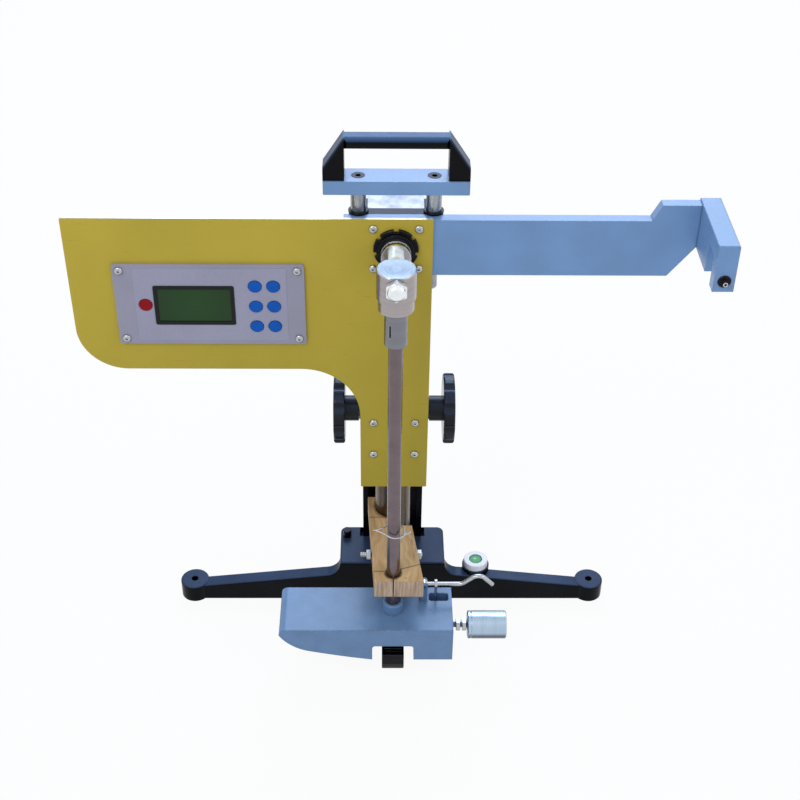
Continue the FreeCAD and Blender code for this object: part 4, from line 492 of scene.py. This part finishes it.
def vial():
    """Green spirit under a clear dome, lighter in the middle where the light passes through."""
    m, node, shader, place, swirl = new_material(
        "green spirit in a clear vial", (2, 1), Specular_IOR_Level=0.2, Coat_Weight=0.2, Coat_Roughness=0.02)
    low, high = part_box("level_vial")
    away = node("VectorMath", {0: place, 1: tuple((low + high) / 2)}, "Value", operation="DISTANCE")
    rim = node("MapRange", {0: away, 1: 0.002, 2: 0.008}, 0)
    colour = layered(node, srgb("38BE48"), (rim, "148032"))
    feed(shader, {"Base Color": colour, "Roughness": node("MapRange", {0: swirl, 3: 0.08, 4: 0.14}, 0)})
    relief(node, shader, swirl, 0.002, 0.6)
    return m


# Points on the lathes' axes
HUB_CENTRE = (*ARM_AXIS, 500)
WEIGHT_CENTRE = (100, ARM_AXIS[1], 48)
# Dark rings round the clamp's holes, seen from above: x, y, reach, colour and strength. Round the column the
# ring is a painted shadow where the column enters the wood.
ROD_HOLE_RING = (*ARM_AXIS, 10.5, "33201A", 0.85)
COLUMN_SHADOW = (0, 0, 24.0, "4A2E1C", 0.55)
MAKERS = {
    "black enamel": black_enamel,
    "blue casting": lambda: blue_enamel("light blue enamel on a casting", True),
    "blue bar": lambda: blue_enamel("light blue enamel on machined bar", False),
    "mustard": mustard_enamel,
    # Dull lilac paint, so that the plate reads as sheet under the film
    "display": lambda: satin_enamel("lilac grey satin enamel", look().display_paint),
    # Matt plastic film, smoother than the plate, so that its border shows
    "film": lambda: satin_enamel("printed polyester film", look().film_colour, 1.4, 0.24, 0.32, "B4B6C8"),
    # Oiled dark steel: brown in its reflections, smooth enough to mirror the rod
    "oiled steel": lambda: metal("oiled dark steel", "5E5348", 0.20, 0.30, drawn=(1, 1, 0.06)),
    # Ground round bar gone brown with handling: darker than its bright fittings
    "handled steel": lambda: metal("ground steel bar, handled", "75696D", 0.20, 0.32, 24, drawn=(1, 1, 0.08)),
    # Ground round bar: soft long highlights
    "ground steel": lambda: metal("ground steel bar", "8D9299", 0.16, 0.28, 24, drawn=(1, 1, 0.08)),
    # Machined bar and strip: even grey sheen
    "machined steel": lambda: metal("machined steel", "A2A6AC", 0.24, 0.36, 10, "D6DADE"),
    # Zinc plate: milky bright with soft patches, painted shade and dirt inside its sockets
    "plated steel": lambda: metal("zinc-plated steel", "B9BCC0", 0.20, 0.32, 5, "EDEFF1"),
    # Turned spindle: bright, with little painted shade where it shows between ring and hub
    "bright steel": lambda: metal("bright turned steel", "EEF3F6", 0.16, 0.24, 8, shade_and_dirt=0.25, shade=0.92),
    # Black oxide: dark metal with silver edges from wear and a painted highlight
    "black steel": lambda: metal("black oxide steel", "232226", 0.30, 0.42, 9, "5A5C64"),
    "turned hub": lambda: turned_metal("turned steel hub", "C6BEBF", 0.20, 0.30, HUB_CENTRE, 2, "DCE6EA"),
    "turned neck": lambda: turned_metal("turned steel socket", "989BA4", 0.22, 0.36, HUB_CENTRE, 2,
                                        "D6D8DC", "6E6A72"),
    # Turned weight: steel tinted blue, a painted sky reflection
    "turned weight": lambda: turned_metal("turned steel weight", "AEC3D8", 0.22, 0.34, WEIGHT_CENTRE, 0,
                                          "E8F0F6", "8FA2B5"),
    # Brass: yellow metal that is slightly tarnished
    "brass": lambda: metal("plain brass", "C9A558", 0.22, 0.34, 6, "E4C884"),
    "cast aluminium": cast_aluminium,
    # Phenolic: deep black gloss, with a painted bluish sky reflection on upward faces
    "phenolic": lambda: moulded("glossy black phenolic", look().wheel_colour, 0.12, 0.22,
                                coat=0.1, mirror=0.15, dust_and_sheen="26344A"),
    # Nylon: softer gloss, with a painted bluish sky reflection along the top of the grip
    "nylon": lambda: moulded("satin black nylon", srgb("08080C"), 0.26, 0.36, 1.6, 0.02,
                             wear_and_highlight="2A3140", mirror=0.1, dust_and_sheen="4A6C98"),
    # Cover plastic: fine spark texture
    "abs": lambda: moulded("spark-textured black plastic", srgb("15161A"), 0.45, 0.6, 1.4, 0.08),
    # Key plastic: saturated gloss
    "blue key": lambda: moulded("glossy blue key plastic", look().blue_key, 0.12, 0.2,
                                wear_and_highlight="3C8CE6", mirror=0.12),
    "red key": lambda: moulded("glossy red key plastic", look().red_key, 0.12, 0.2,
                               wear_and_highlight="D03040", mirror=0.12),
    # Bezel: matt dark frame round the glass
    "bezel": lambda: moulded("matt black bezel", srgb("141A17"), 0.4, 0.5, 1.2, 0.03),
    # Ring of the level: bright enamel
    "white ring": lambda: satin_enamel("white enamel ring", srgb("FAFBFC"), 1.4, 0.2, 0.3, "FFFFFF"),
    # Air bubble: paler than the spirit round it
    "bubble": lambda: moulded("pale bubble in the spirit", srgb("9BE3A0"), 0.08, 0.14, wear_and_highlight="D8F8DA"),
    # Tie wire: galvanised, dull white
    "tie wire": lambda: metal("galvanised tie wire", "C0C4CA", 0.34, 0.46, 3),
    "lcd": lcd,
    "rubber": rubber,
    # Pale wood with pencil lines across and a dark ring round each hole, a painted shadow round the column
    "left wood": lambda: hardwood("sawn hardwood, left half", (0.3, 0.1, 0),
                                  [((0, 1), -20.5), ((0, 1), -112.5)],
                                  [ROD_HOLE_RING, COLUMN_SHADOW, (-4.7, -31, 2.6, "120A06", 0.95)]),
    "right wood": lambda: hardwood("sawn hardwood, right half", (0.7, 0.4, 0), [((-0.33, 0.944), -105.6)],
                                   [ROD_HOLE_RING, (14.5, -123.5, 1.0, "B8442E", 0.85)]),
    "vial": vial,
    # Solder mask: dark green gloss over glass fibre
    "board": lambda: moulded("green solder mask", srgb("12482A"), 0.25, 0.35, 1.2, 0.02, wear_and_highlight="8C7A3C"),
    # Shrink wrap of the cells
    "wrap": lambda: moulded("blue shrink wrap", srgb("1C4C8C"), 0.3, 0.4, 1.2, 0.02, wear_and_highlight="4878B4"),
    # Spring wire: bright hard steel
    "spring steel": lambda: metal("hard-drawn spring wire", "B9BCC2", 0.2, 0.3, 4),
}


@functools.cache
def material(key):
    """The material of that name, made on first use."""
    return MAKERS[key]()


# Making pieces

def paint(key, *names):
    """Gives CAD nodes a material and leaves their shape alone."""
    for name in names:
        data = NODES[name].data
        data.materials.clear()
        data.materials.append(material(key))


def settle(piece, key, body, replaces=()):
    """Links a finished piece, gives it its material and lets it ride on a CAD body."""
    bpy.context.scene.collection.objects.link(piece)
    piece.data.materials.append(material(key))
    if replaces:
        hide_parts(*replaces)
    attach(piece, body)
    return piece


def shaded(bm, name, sharp_degrees=35):
    """Turns bmesh into a mesh with smooth faces and sharp edges."""
    bmesh.ops.remove_doubles(bm, verts=bm.verts, dist=1e-6)
    bmesh.ops.recalc_face_normals(bm, faces=bm.faces)
    limit = math.radians(sharp_degrees)
    for face in bm.faces:
        face.smooth = True
    for edge in bm.edges:
        edge.smooth = len(edge.link_faces) == 2 and edge.calc_face_angle(0) < limit
    mesh = bpy.data.meshes.new(name)
    bm.to_mesh(mesh)
    bm.free()
    return bpy.data.objects.new(name, mesh)


def frame_of(origin, axis):
    """Matrix that puts +Z of a turned piece along axis at origin, in millimetres."""
    turn = Vector(axis).to_track_quat("Z", "Y").to_matrix().to_4x4()
    return Matrix.Translation(Vector(origin) * MM) @ turn


def lathe(bm, profile, origin, axis, steps=None):
    """Revolves (radius, height) pairs in millimetres about axis through origin. Six steps make a hexagon."""
    steps = steps or look().turning_steps
    place = frame_of(origin, axis)
    rings = []
    for radius, height in profile:
        if radius < 1e-6:
            rings.append([bm.verts.new(place @ Vector((0, 0, height * MM)))])
            continue
        ring = []
        for i in range(steps):
            a = 2 * math.pi * i / steps
            spot = Vector((radius * math.cos(a), radius * math.sin(a), height)) * MM
            ring.append(bm.verts.new(place @ spot))
        rings.append(ring)
    for low, high in zip(rings, rings[1:]):
        for i in range(steps):
            j = (i + 1) % steps
            corners = [low[i % len(low)], low[j % len(low)], high[j % len(high)], high[i % len(high)]]
            unique = list(dict.fromkeys(corners))
            if len(unique) > 2:
                bm.faces.new(unique)


def ring_profile(inner, outer, thick, soft=0.4):
    """Closed profile of a flat ring with softened outer edges."""
    return [(inner, 0), (outer - soft, 0), (outer, soft), (outer, thick - soft), (outer - soft, thick),
            (inner, thick), (inner, 0)]


def nut_profile(across, bore, thick, chamfer=0.7):
    """Closed profile of a hexagon nut, turned down at its corners."""
    corner = across / math.sqrt(3)
    return [(bore, 0), (corner - chamfer, 0), (corner, chamfer * 0.6), (corner, thick - chamfer * 0.6),
            (corner - chamfer, thick), (bore, thick), (bore, 0)]


def thread(bm, radius, depth, start, end, origin, axis, pitch, steps=36):
    """A V thread from start to end along axis, in millimetres, that runs out at both ends."""
    place = frame_of(origin, axis)
    rows = max(2, round((end - start) / pitch * 6))
    grid = []
    for r in range(rows + 1):
        z = start + (end - start) * r / rows
        fade = min(1, (z - start) / pitch, (end - z) / pitch)
        ring = []
        for i in range(steps):
            share = i / steps
            wave = abs(((z / pitch - share) % 1) * 2 - 1)
            rr = radius - depth * wave * fade - 0.5 * (1 - fade)
            a = 2 * math.pi * share
            ring.append(bm.verts.new(place @ (Vector((rr * math.cos(a), rr * math.sin(a), z)) * MM)))
        grid.append(ring)
    for low, high in zip(grid, grid[1:]):
        for i in range(steps):
            j = (i + 1) % steps
            bm.faces.new([low[i], low[j], high[j], high[i]])
    for ring in (grid[0][::-1], grid[-1]):
        bm.faces.new(ring)


def sheet_shape(name, outline, holes, thickness, back):
    """A flat piece with holes, seen from the front, and its back at that depth. Loops are (x, z)."""
    curve = bpy.data.curves.new(name, "CURVE")
    curve.dimensions = "2D"
    curve.fill_mode = "BOTH"
    curve.extrude = thickness / 2 * MM
    for loop in (outline, *holes):
        spline = curve.splines.new("POLY")
        spline.points.add(len(loop) - 1)
        for point, (x, z) in zip(spline.points, loop):
            point.co = (x * MM, z * MM, 0, 1)
        spline.use_cyclic_u = True
    flat = bpy.data.objects.new(name + "_flat", curve)
    bpy.context.scene.collection.objects.link(flat)
    bpy.context.view_layer.update()
    mesh = bpy.data.meshes.new_from_object(flat.evaluated_get(bpy.context.evaluated_depsgraph_get()))
    bpy.data.objects.remove(flat)
    mesh.name = name
    middle = (back - thickness / 2) * MM
    mesh.transform(Matrix(((1, 0, 0, 0), (0, 0, -1, middle), (0, 1, 0, 0), (0, 0, 0, 1))))
    mesh.materials.clear()
    return bpy.data.objects.new(name, mesh)


def rounded_loop(x0, z0, x1, z1, r, steps=8):
    """Corner points of a rounded rectangle, in millimetres."""
    loop = []
    centres = ((x1 - r, z0 + r, -90), (x1 - r, z1 - r, 0), (x0 + r, z1 - r, 90), (x0 + r, z0 + r, 180))
    for cx, cz, start in centres:
        for i in range(steps + 1):
            a = math.radians(start + 90 * i / steps)
            loop.append((cx + r * math.cos(a), cz + r * math.sin(a)))
    return loop


def grown_loop(low, high, by, r):
    """A rounded rectangle round a node's front face, larger than it by that much on each side."""
    return rounded_loop(low[0] - by, low[2] - by, high[0] + by, high[2] + by, r)


def round_loop(x, z, r, steps=36):
    """Corner points of a circle."""
    angles = [2 * math.pi * i / steps for i in range(steps)]
    return [(x + r * math.cos(a), z + r * math.sin(a)) for a in angles]


def bent_wire(name, points, radius):
    """A round wire on a smooth line that points in millimetres steer."""
    curve = bpy.data.curves.new(name, "CURVE")
    curve.dimensions = "3D"
    curve.bevel_depth = radius
    curve.bevel_resolution = 4
    curve.resolution_u = 8
    curve.use_fill_caps = True
    spline = curve.splines.new("NURBS")
    spline.points.add(len(points) - 1)
    for point, place in zip(spline.points, points):
        point.co = (*[c * MM for c in place], 1)
    spline.order_u = 3
    spline.use_endpoint_u = True
    return bpy.data.objects.new(name, curve)


def sizes(name):
    """Centre, low corner and high corner of a CAD node, in millimetres."""
    low, high = (tuple(c / MM for c in corner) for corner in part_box(name))
    return tuple((a + b) / 2 for a, b in zip(low, high)), low, high


# One operator for each group of pieces

class TESTER_OT_stage(bpy.types.Operator):
    """Makes the floor, the surroundings, the lamps and the camera"""

    bl_idname = "tester.stage"
    bl_label = "Stage and camera"

    def execute(self, context):
        scene = context.scene
        scene.view_settings.view_transform = "Standard"
        self.camera(scene)
        self.floor(scene)
        self.world(scene)
        for lamp in LAMPS:
            self.lamp(scene, *lamp)
        return {"FINISHED"}

    def camera(self, scene):
        """The camera that the photo was taken from."""
        down, turn, roll = (math.radians(PHOTO_VIEW[k]) for k in ("down", "turn", "roll"))
        ahead = Vector((math.sin(turn) * math.cos(down), math.cos(turn) * math.cos(down), -math.sin(down)))
        right = Vector((math.cos(turn), -math.sin(turn), 0))
        up = right.cross(ahead)
        image_right = math.cos(roll) * right + math.sin(roll) * up
        image_up = -math.sin(roll) * right + math.cos(roll) * up
        data = bpy.data.cameras.new("photo_camera")
        data.lens = PHOTO_VIEW["lens"]
        data.sensor_width = PHOTO_VIEW["sensor"]
        data.clip_start = 0.05
        data.clip_end = 50
        camera = bpy.data.objects.new("photo_camera", data)
        scene.collection.objects.link(camera)
        turned = Matrix((image_right, image_up, -ahead)).transposed().to_4x4()
        camera.matrix_world = Matrix.Translation(Vector(PHOTO_VIEW["place"]) * MM) @ turned
        scene.camera = camera

    def seen(self, node):
        """Share of rays that should find plain white: from the camera, and through gloss and glass."""
        path = node("LightPath").outputs
        clear = node("Math", {0: path["Is Glossy Ray"], 1: path["Is Transmission Ray"]}, 0,
                     operation="MAXIMUM")
        return node("Math", {0: path["Is Camera Ray"], 1: clear}, 0, operation="MAXIMUM")

    def floor(self, scene):
        """A pale floor that takes faint shadows and looks white."""
        m, node, shader, _, cloud = new_material(
            "pale studio floor", (400, 2), Roughness=0.9, Specular_IOR_Level=0.1)
        feed(shader, {"Base Color": layered(node, srgb("F4F5F7"), (cloud, "F1F2F4"))})
        white = node("Emission", {"Color": (1, 1, 1), "Strength": 1.0}, 0)
        share = node("Math", {0: self.seen(node), 1: FLOOR_WHITE}, 0, operation="MULTIPLY")
        both = node("MixShader", {0: share, 1: shader.outputs[0], 2: white}, 0)
        tree = m.node_tree
        tree.links.new(both, tree.nodes["Material Output"].inputs["Surface"])
        bm = bmesh.new()
        bmesh.ops.create_grid(bm, x_segments=2, y_segments=2, size=FLOOR_HALF)
        floor = shaded(bm, "floor")
        floor.data.materials.append(m)
        floor.location = (0, 0, -0.0005)
        scene.collection.objects.link(floor)

    def world(self, scene):
        """Soft pale light all round, behind plain white."""
        world = bpy.data.worlds.new("studio")
        scene.world = world
        world.use_nodes = True
        world.node_tree.nodes.clear()
        node = functools.partial(add, world.node_tree)
        lit = node("Background", {"Color": srgb("EEF2FA"), "Strength": STUDIO_LIGHT}, 0)
        white = node("Background", {"Color": (1, 1, 1), "Strength": 1.0}, 0)
        node("OutputWorld", {0: node("MixShader", {0: self.seen(node), 1: lit, 2: white}, 0)})

    def lamp(self, scene, name, place, aim, size, power, tint):
        """One square lamp."""
        data = bpy.data.lights.new(name, "AREA")
        data.shape = "SQUARE"
        data.size = size
        data.energy = power
        data.color = srgb(tint)
        lamp = bpy.data.objects.new(name, data)
        scene.collection.objects.link(lamp)
        lamp.location = place
        lamp.rotation_euler = (Vector(aim) - Vector(place)).to_track_quat("-Z", "Y").to_euler()


class TESTER_OT_base(bpy.types.Operator):
    """Enamels the base casting and finishes its bolt and spirit level"""

    bl_idname = "tester.base"
    bl_label = "Base and level"

    def execute(self, context):
        paint("black enamel", "base_casting")
        paint("black steel", "base_bolt")
        paint("white ring", "level_housing")
        paint("vial", "level_vial")
        centre, low, high = sizes("level_vial")
        bm = bmesh.new()
        lathe(bm, BUBBLE, (centre[0] - 1, centre[1] + 1, high[2] - 0.1), (0, 0, 1), 32)
        settle(shaded(bm, "level_bubble"), "bubble", "stand")
        bm = bmesh.new()
        rim = (high[0] - low[0]) / 2 - 0.1
        ring = ring_profile(rim - 0.7, rim, 0.12, 0.03)
        lathe(bm, ring, (centre[0], centre[1], high[2] - 0.05), (0, 0, 1), 48)
        settle(shaded(bm, "level_target"), "bezel", "stand")
        return {"FINISHED"}


class TESTER_OT_column(bpy.types.Operator):
    """Finishes the column, its rack and the guide post"""

    bl_idname = "tester.column"
    bl_label = "Column"

    def execute(self, context):
        paint("oiled steel", "column")
        paint("machined steel", "column_rack")
        paint("black steel", "guide_post")
        return {"FINISHED"}


class TESTER_OT_head(bpy.types.Operator):
    """Finishes the head casting and the electronics behind the panel, with the cover's screws and door"""

    bl_idname = "tester.head"
    bl_label = "Head"

    def execute(self, context):
        paint("cast aluminium", "head_body")
        paint("black steel", "head_bridge")
        paint("abs", "electronics_cover")
        paint("board", "circuit_board")
        paint("wrap", "battery_pack")
        _, low, high = sizes("electronics_cover")
        bm = bmesh.new()
        for x in (low[0] + SCREW_INSET, high[0] - SCREW_INSET):
            for z in (low[2] + SCREW_INSET, high[2] - SCREW_INSET):
                lathe(bm, DOME_SCREW, (x, high[1] - 0.1, z), (0, 1, 0), 32)
        settle(shaded(bm, "cover_screws"), "plated steel", "head")
        door, grip = (rounded_loop(low[0] + x0, low[2] + z0, low[0] + x1, low[2] + z1, r)
                      for x0, z0, x1, z1, r in (BATTERY_DOOR, DOOR_GRIP))
        settle(sheet_shape("battery_door", door, [grip], 1.0, high[1] + 0.9), "abs", "head")
        return {"FINISHED"}


class TESTER_OT_panel(bpy.types.Operator):
    """Enamels the front panel and finishes its screws"""

    bl_idname = "tester.panel"
    bl_label = "Front panel"

    def execute(self, context):
        paint("mustard", "front_panel")
        paint("plated steel", "panel_screws")
        return {"FINISHED"}


class TESTER_OT_display(bpy.types.Operator):
    """Finishes the display plate and makes its film, window bezel and keys"""

    bl_idname = "tester.display"
    bl_label = "Display and keys"

    def execute(self, context):
        paint("display", "display_plate")
        paint("lcd", "display_window")
        _, plate_low, plate_high = sizes("display_plate")
        _, low, high = sizes("display_window")
        keys = {name: sizes(name) for name in NODES if name.startswith("key_")}
        face = plate_low[1]
        gauge = look().film_gauge / MM
        holes = [grown_loop(low, high, FILM_CLEARANCE, 2)]
        holes += [round_loop(centre[0], centre[2], KEY_HOLE) for centre, _, _ in keys.values()]
        film = rounded_loop(plate_low[0] + FILM_LEFT, plate_low[2] + FILM_ABOVE,
                            plate_high[0] - FILM_RIGHT, plate_high[2] - FILM_ABOVE, FILM_CORNER)
        settle(sheet_shape("display_film", film, holes, gauge, face), "film", "head")
        outer, inner = grown_loop(low, high, BEZEL_OUT, 2), grown_loop(low, high, -BEZEL_IN, 1)
        settle(sheet_shape("window_bezel", outer, [inner], BEZEL_THICK, face), "bezel", "head")
        for name, measures in keys.items():
            self.key(name, *measures)
        return {"FINISHED"}

    def key(self, name, centre, low, high):
        """One round key with a softened rim and a dished face."""
        radius = (high[0] - low[0]) / 2
        deep = high[1] - low[1]
        crown = look().key_crown / MM
        profile = [(radius, 0), (radius, deep - 0.9), (radius - 0.25, deep - 0.35)]
        profile += [(radius - 0.9, deep - 0.1 - crown * 0.3), (radius - 1.4, deep - crown * 0.55)]
        profile += [(3, deep - crown * 0.9), (0, deep - crown)]
        bm = bmesh.new()
        lathe(bm, profile, (centre[0], high[1], centre[2]), (0, -1, 0), 48)
        colour = "red key" if "red" in name else "blue key"
        settle(shaded(bm, name + "_face", 50), colour, name + "_cap", (name,))


class TESTER_OT_catch(bpy.types.Operator):
    """Enamels the catch arm and its end block and finishes the release pin"""

    bl_idname = "tester.catch"
    bl_label = "Catch arm"

    def execute(self, context):
        paint("blue bar", "catch_arm", "end_block")
        paint("black steel", "head_fasteners")
        paint("plated steel", "release_plunger")
        return {"FINISHED"}


class TESTER_OT_handle(bpy.types.Operator):
    """Finishes the pillars, the top plate and the carrying handle, and makes the rings under the pillars"""

    bl_idname = "tester.handle"
    bl_label = "Handle"

    def execute(self, context):
        paint("machined steel", "handle_pillars")
        paint("blue bar", "top_plate")
        paint("nylon", "carrying_handle")
        centre, low, high = sizes("handle_pillars")
        radius = (high[1] - low[1]) / 2
        bm = bmesh.new()
        ring, bridge_top = ring_profile(radius - 0.5, radius + 2.4, 2.6), sizes("head_bridge")[2][2]
        for x in (low[0] + radius, high[0] - radius):
            lathe(bm, ring, (x, centre[1], bridge_top), (0, 0, 1), 48)
        settle(shaded(bm, "pillar_rings"), "black steel", "head")
        return {"FINISHED"}


class TESTER_OT_wheels(bpy.types.Operator):
    """Finishes the hand wheels, their shaft and the column lock, and makes the wheels' face plugs"""

    bl_idname = "tester.wheels"
    bl_label = "Hand wheels"

    def execute(self, context):
        paint("phenolic", "left_wheel", "right_wheel", "lock_knob")
        paint("machined steel", "knob_shaft", "lock_screw")
        paint("brass", "pinion")
        for name, way in (("left_wheel", -1), ("right_wheel", 1)):
            _, low, high = sizes(name)
            face = (high if way > 0 else low)[0] - way * 0.55
            bm = bmesh.new()
            lathe(bm, WHEEL_PLUG, (face, *sizes("knob_shaft")[0][1:]), (way, 0, 0), 48)
            settle(shaded(bm, name + "_plug"), "phenolic", "handwheel")
        return {"FINISHED"}


class TESTER_OT_pivot(bpy.types.Operator):
    """Finishes the bearing housing, spindle, hub and arm, and makes the flange's packing and the tie wire"""

    bl_idname = "tester.pivot"
    bl_label = "Pivot and arm"

    def execute(self, context):
        paint("black steel", "bearing_housing", "lock_ring")
        paint("bright steel", "spindle", "hub_nut")
        paint("turned hub", "hub", "hub_collar")
        paint("turned neck", "arm_socket")
        paint("handled steel", "arm_tube")
        paint("ground steel", "spindle_bearings", "pivot_pins")
        bm = bmesh.new()
        for front in PACKING_FRONTS:
            lathe(bm, ring_profile(*PACKING_RING), (0, front, SPINDLE_HEIGHT), (0, -1, 0))
        settle(shaded(bm, "flange_packing"), "bezel", "pendulum")
        x, y = ARM_AXIS
        for name, route in TIE_WIRES.items():
            points = [(x + a, y + b, c) for a, b, c in route]
            settle(bent_wire(name, points, look().wire_radius), "tie wire", "pendulum")
        return {"FINISHED"}


class TESTER_OT_foot(bpy.types.Operator):
    """Enamels the foot and makes its threaded stud, lock nuts, turned weight and slider spring"""

    bl_idname = "tester.foot"
    bl_label = "Foot"

    def execute(self, context):
        paint("blue casting", "foot_casting")
        paint("plated steel", "lifting_lever", "pull_pin")
        paint("ground steel", "slider_arm")
        paint("black steel", "slider_holder")
        paint("rubber", "rubber_slider")
        centre, low, high = sizes("balance_stud")
        axis = (0, centre[1], centre[2])
        radius = (high[2] - low[2]) / 2
        bm = bmesh.new()
        thread(bm, radius, STUD_THREAD, low[0], high[0], axis, (1, 0, 0), look().stud_pitch / MM)
        settle(shaded(bm, "stud_thread", 80), "ground steel", "pendulum", ("balance_stud",))
        _, low, high = sizes("lock_nuts")
        across = high[1] - low[1]
        thick = (high[0] - low[0] - NUT_GAP) / 2
        bm = bmesh.new()
        for start in (low[0], high[0] - thick):
            lathe(bm, nut_profile(across, radius - 0.3, thick), (start, *axis[1:]), (1, 0, 0), 6)
        settle(shaded(bm, "chamfered_nuts", 20), "plated steel", "pendulum", ("lock_nuts",))
        _, low, high = sizes("balance_weight")
        r, length = (high[2] - low[2]) / 2, high[0] - low[0]
        left_face = [(radius, 0), (r - 2.6, 0), (r - 2.2, 0.5), (r - 0.9, 0.3), (r, 1.2)]
        groove = [(r, 3.6), (r - 0.5, 3.9), (r - 0.5, 4.8), (r, 5.1)]
        right_face = [(r, length - 1.2), (r - 1.2, length), (6.5, length)]
        counterbore = [(5.6, length - 1), (5.6, length - 5), (radius, length - 5), (radius, 0)]
        profile = left_face + groove + right_face + counterbore
        bm = bmesh.new()
        lathe(bm, profile, (low[0], *axis[1:]), (1, 0, 0))
        settle(shaded(bm, "turned_weight", 25), "turned weight", "weight",
               ("balance_weight",))
        centre, low, high = sizes("slider_spring")
        reach = (high[0] - low[0]) / 2 - COIL_GAUGE
        steps = COIL_TURNS * COIL_STEPS
        rise = (high[2] - low[2] - 2 * COIL_GAUGE) / steps
        coil = []
        for i in range(steps + 1):
            a = 2 * math.pi * i / COIL_STEPS
            coil.append((centre[0] + reach * math.cos(a), centre[1] + reach * math.sin(a),
                         low[2] + COIL_GAUGE + rise * i))
        settle(bent_wire("slider_coil", coil, COIL_GAUGE * MM), "spring steel", "pendulum",
               ("slider_spring",))
        return {"FINISHED"}


class TESTER_OT_clamp(bpy.types.Operator):
    """Finishes the wooden clamp and makes its threaded stud with chamfered nuts"""

    bl_idname = "tester.clamp"
    bl_label = "Transit clamp"

    def execute(self, context):
        paint("left wood", "clamp_left")
        paint("right wood", "clamp_right")
        centre, low, high = sizes("clamp_bolt")
        axis = (0, centre[1], centre[2])
        bm = bmesh.new()
        thread(bm, CLAMP_THREAD_R, CLAMP_THREAD, low[0], high[0], axis, (1, 0, 0), look().bolt_pitch / MM, 28)
        nut = nut_profile(high[1] - low[1], CLAMP_THREAD_R - 0.2, CLAMP_NUT_THICK, 0.5)
        lathe(bm, nut, (low[0] + CLAMP_NUT_START, *axis[1:]), (1, 0, 0), 6)
        settle(shaded(bm, "clamp_stud", 20), "plated steel", "clamp_left_half",
               ("clamp_bolt",))
        _, low, high = sizes("clamp_nut")
        bm = bmesh.new()
        nut = nut_profile(high[1] - low[1], CLAMP_THREAD_R + 0.1, high[0] - low[0], 0.5)
        lathe(bm, nut, (low[0], *axis[1:]), (1, 0, 0), 6)
        settle(shaded(bm, "clamp_loose_nut", 20), "plated steel", "clamp_right_half",
               ("clamp_nut",))
        return {"FINISHED"}


GROUPS = (
    TESTER_OT_stage, TESTER_OT_base, TESTER_OT_column, TESTER_OT_head, TESTER_OT_panel, TESTER_OT_display,
    TESTER_OT_catch, TESTER_OT_handle, TESTER_OT_wheels, TESTER_OT_pivot, TESTER_OT_foot, TESTER_OT_clamp,
)


class TESTER_PT_groups(bpy.types.Panel):
    """Lists the groups of pieces and the sizes and colours that they take"""

    bl_label = "Pendulum tester"
    bl_space_type = "VIEW_3D"
    bl_region_type = "UI"
    bl_category = "Tester"

    def draw(self, context):
        for name in TesterLook.__annotations__:
            self.layout.prop(context.scene.tester_look, name)
        for group in GROUPS:
            self.layout.operator(group.bl_idname)


CLASSES = (TesterLook, *GROUPS, TESTER_PT_groups)


def register():
    for cls in CLASSES:
        bpy.utils.register_class(cls)
    bpy.types.Scene.tester_look = PointerProperty(type=TesterLook)


def unregister():
    del bpy.types.Scene.tester_look
    for cls in reversed(CLASSES):
        bpy.utils.unregister_class(cls)


def main():
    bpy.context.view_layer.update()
    register()
    for group in GROUPS:
        getattr(bpy.ops.tester, group.bl_idname.split(".")[1])()


if __name__ == "__main__":
    main()
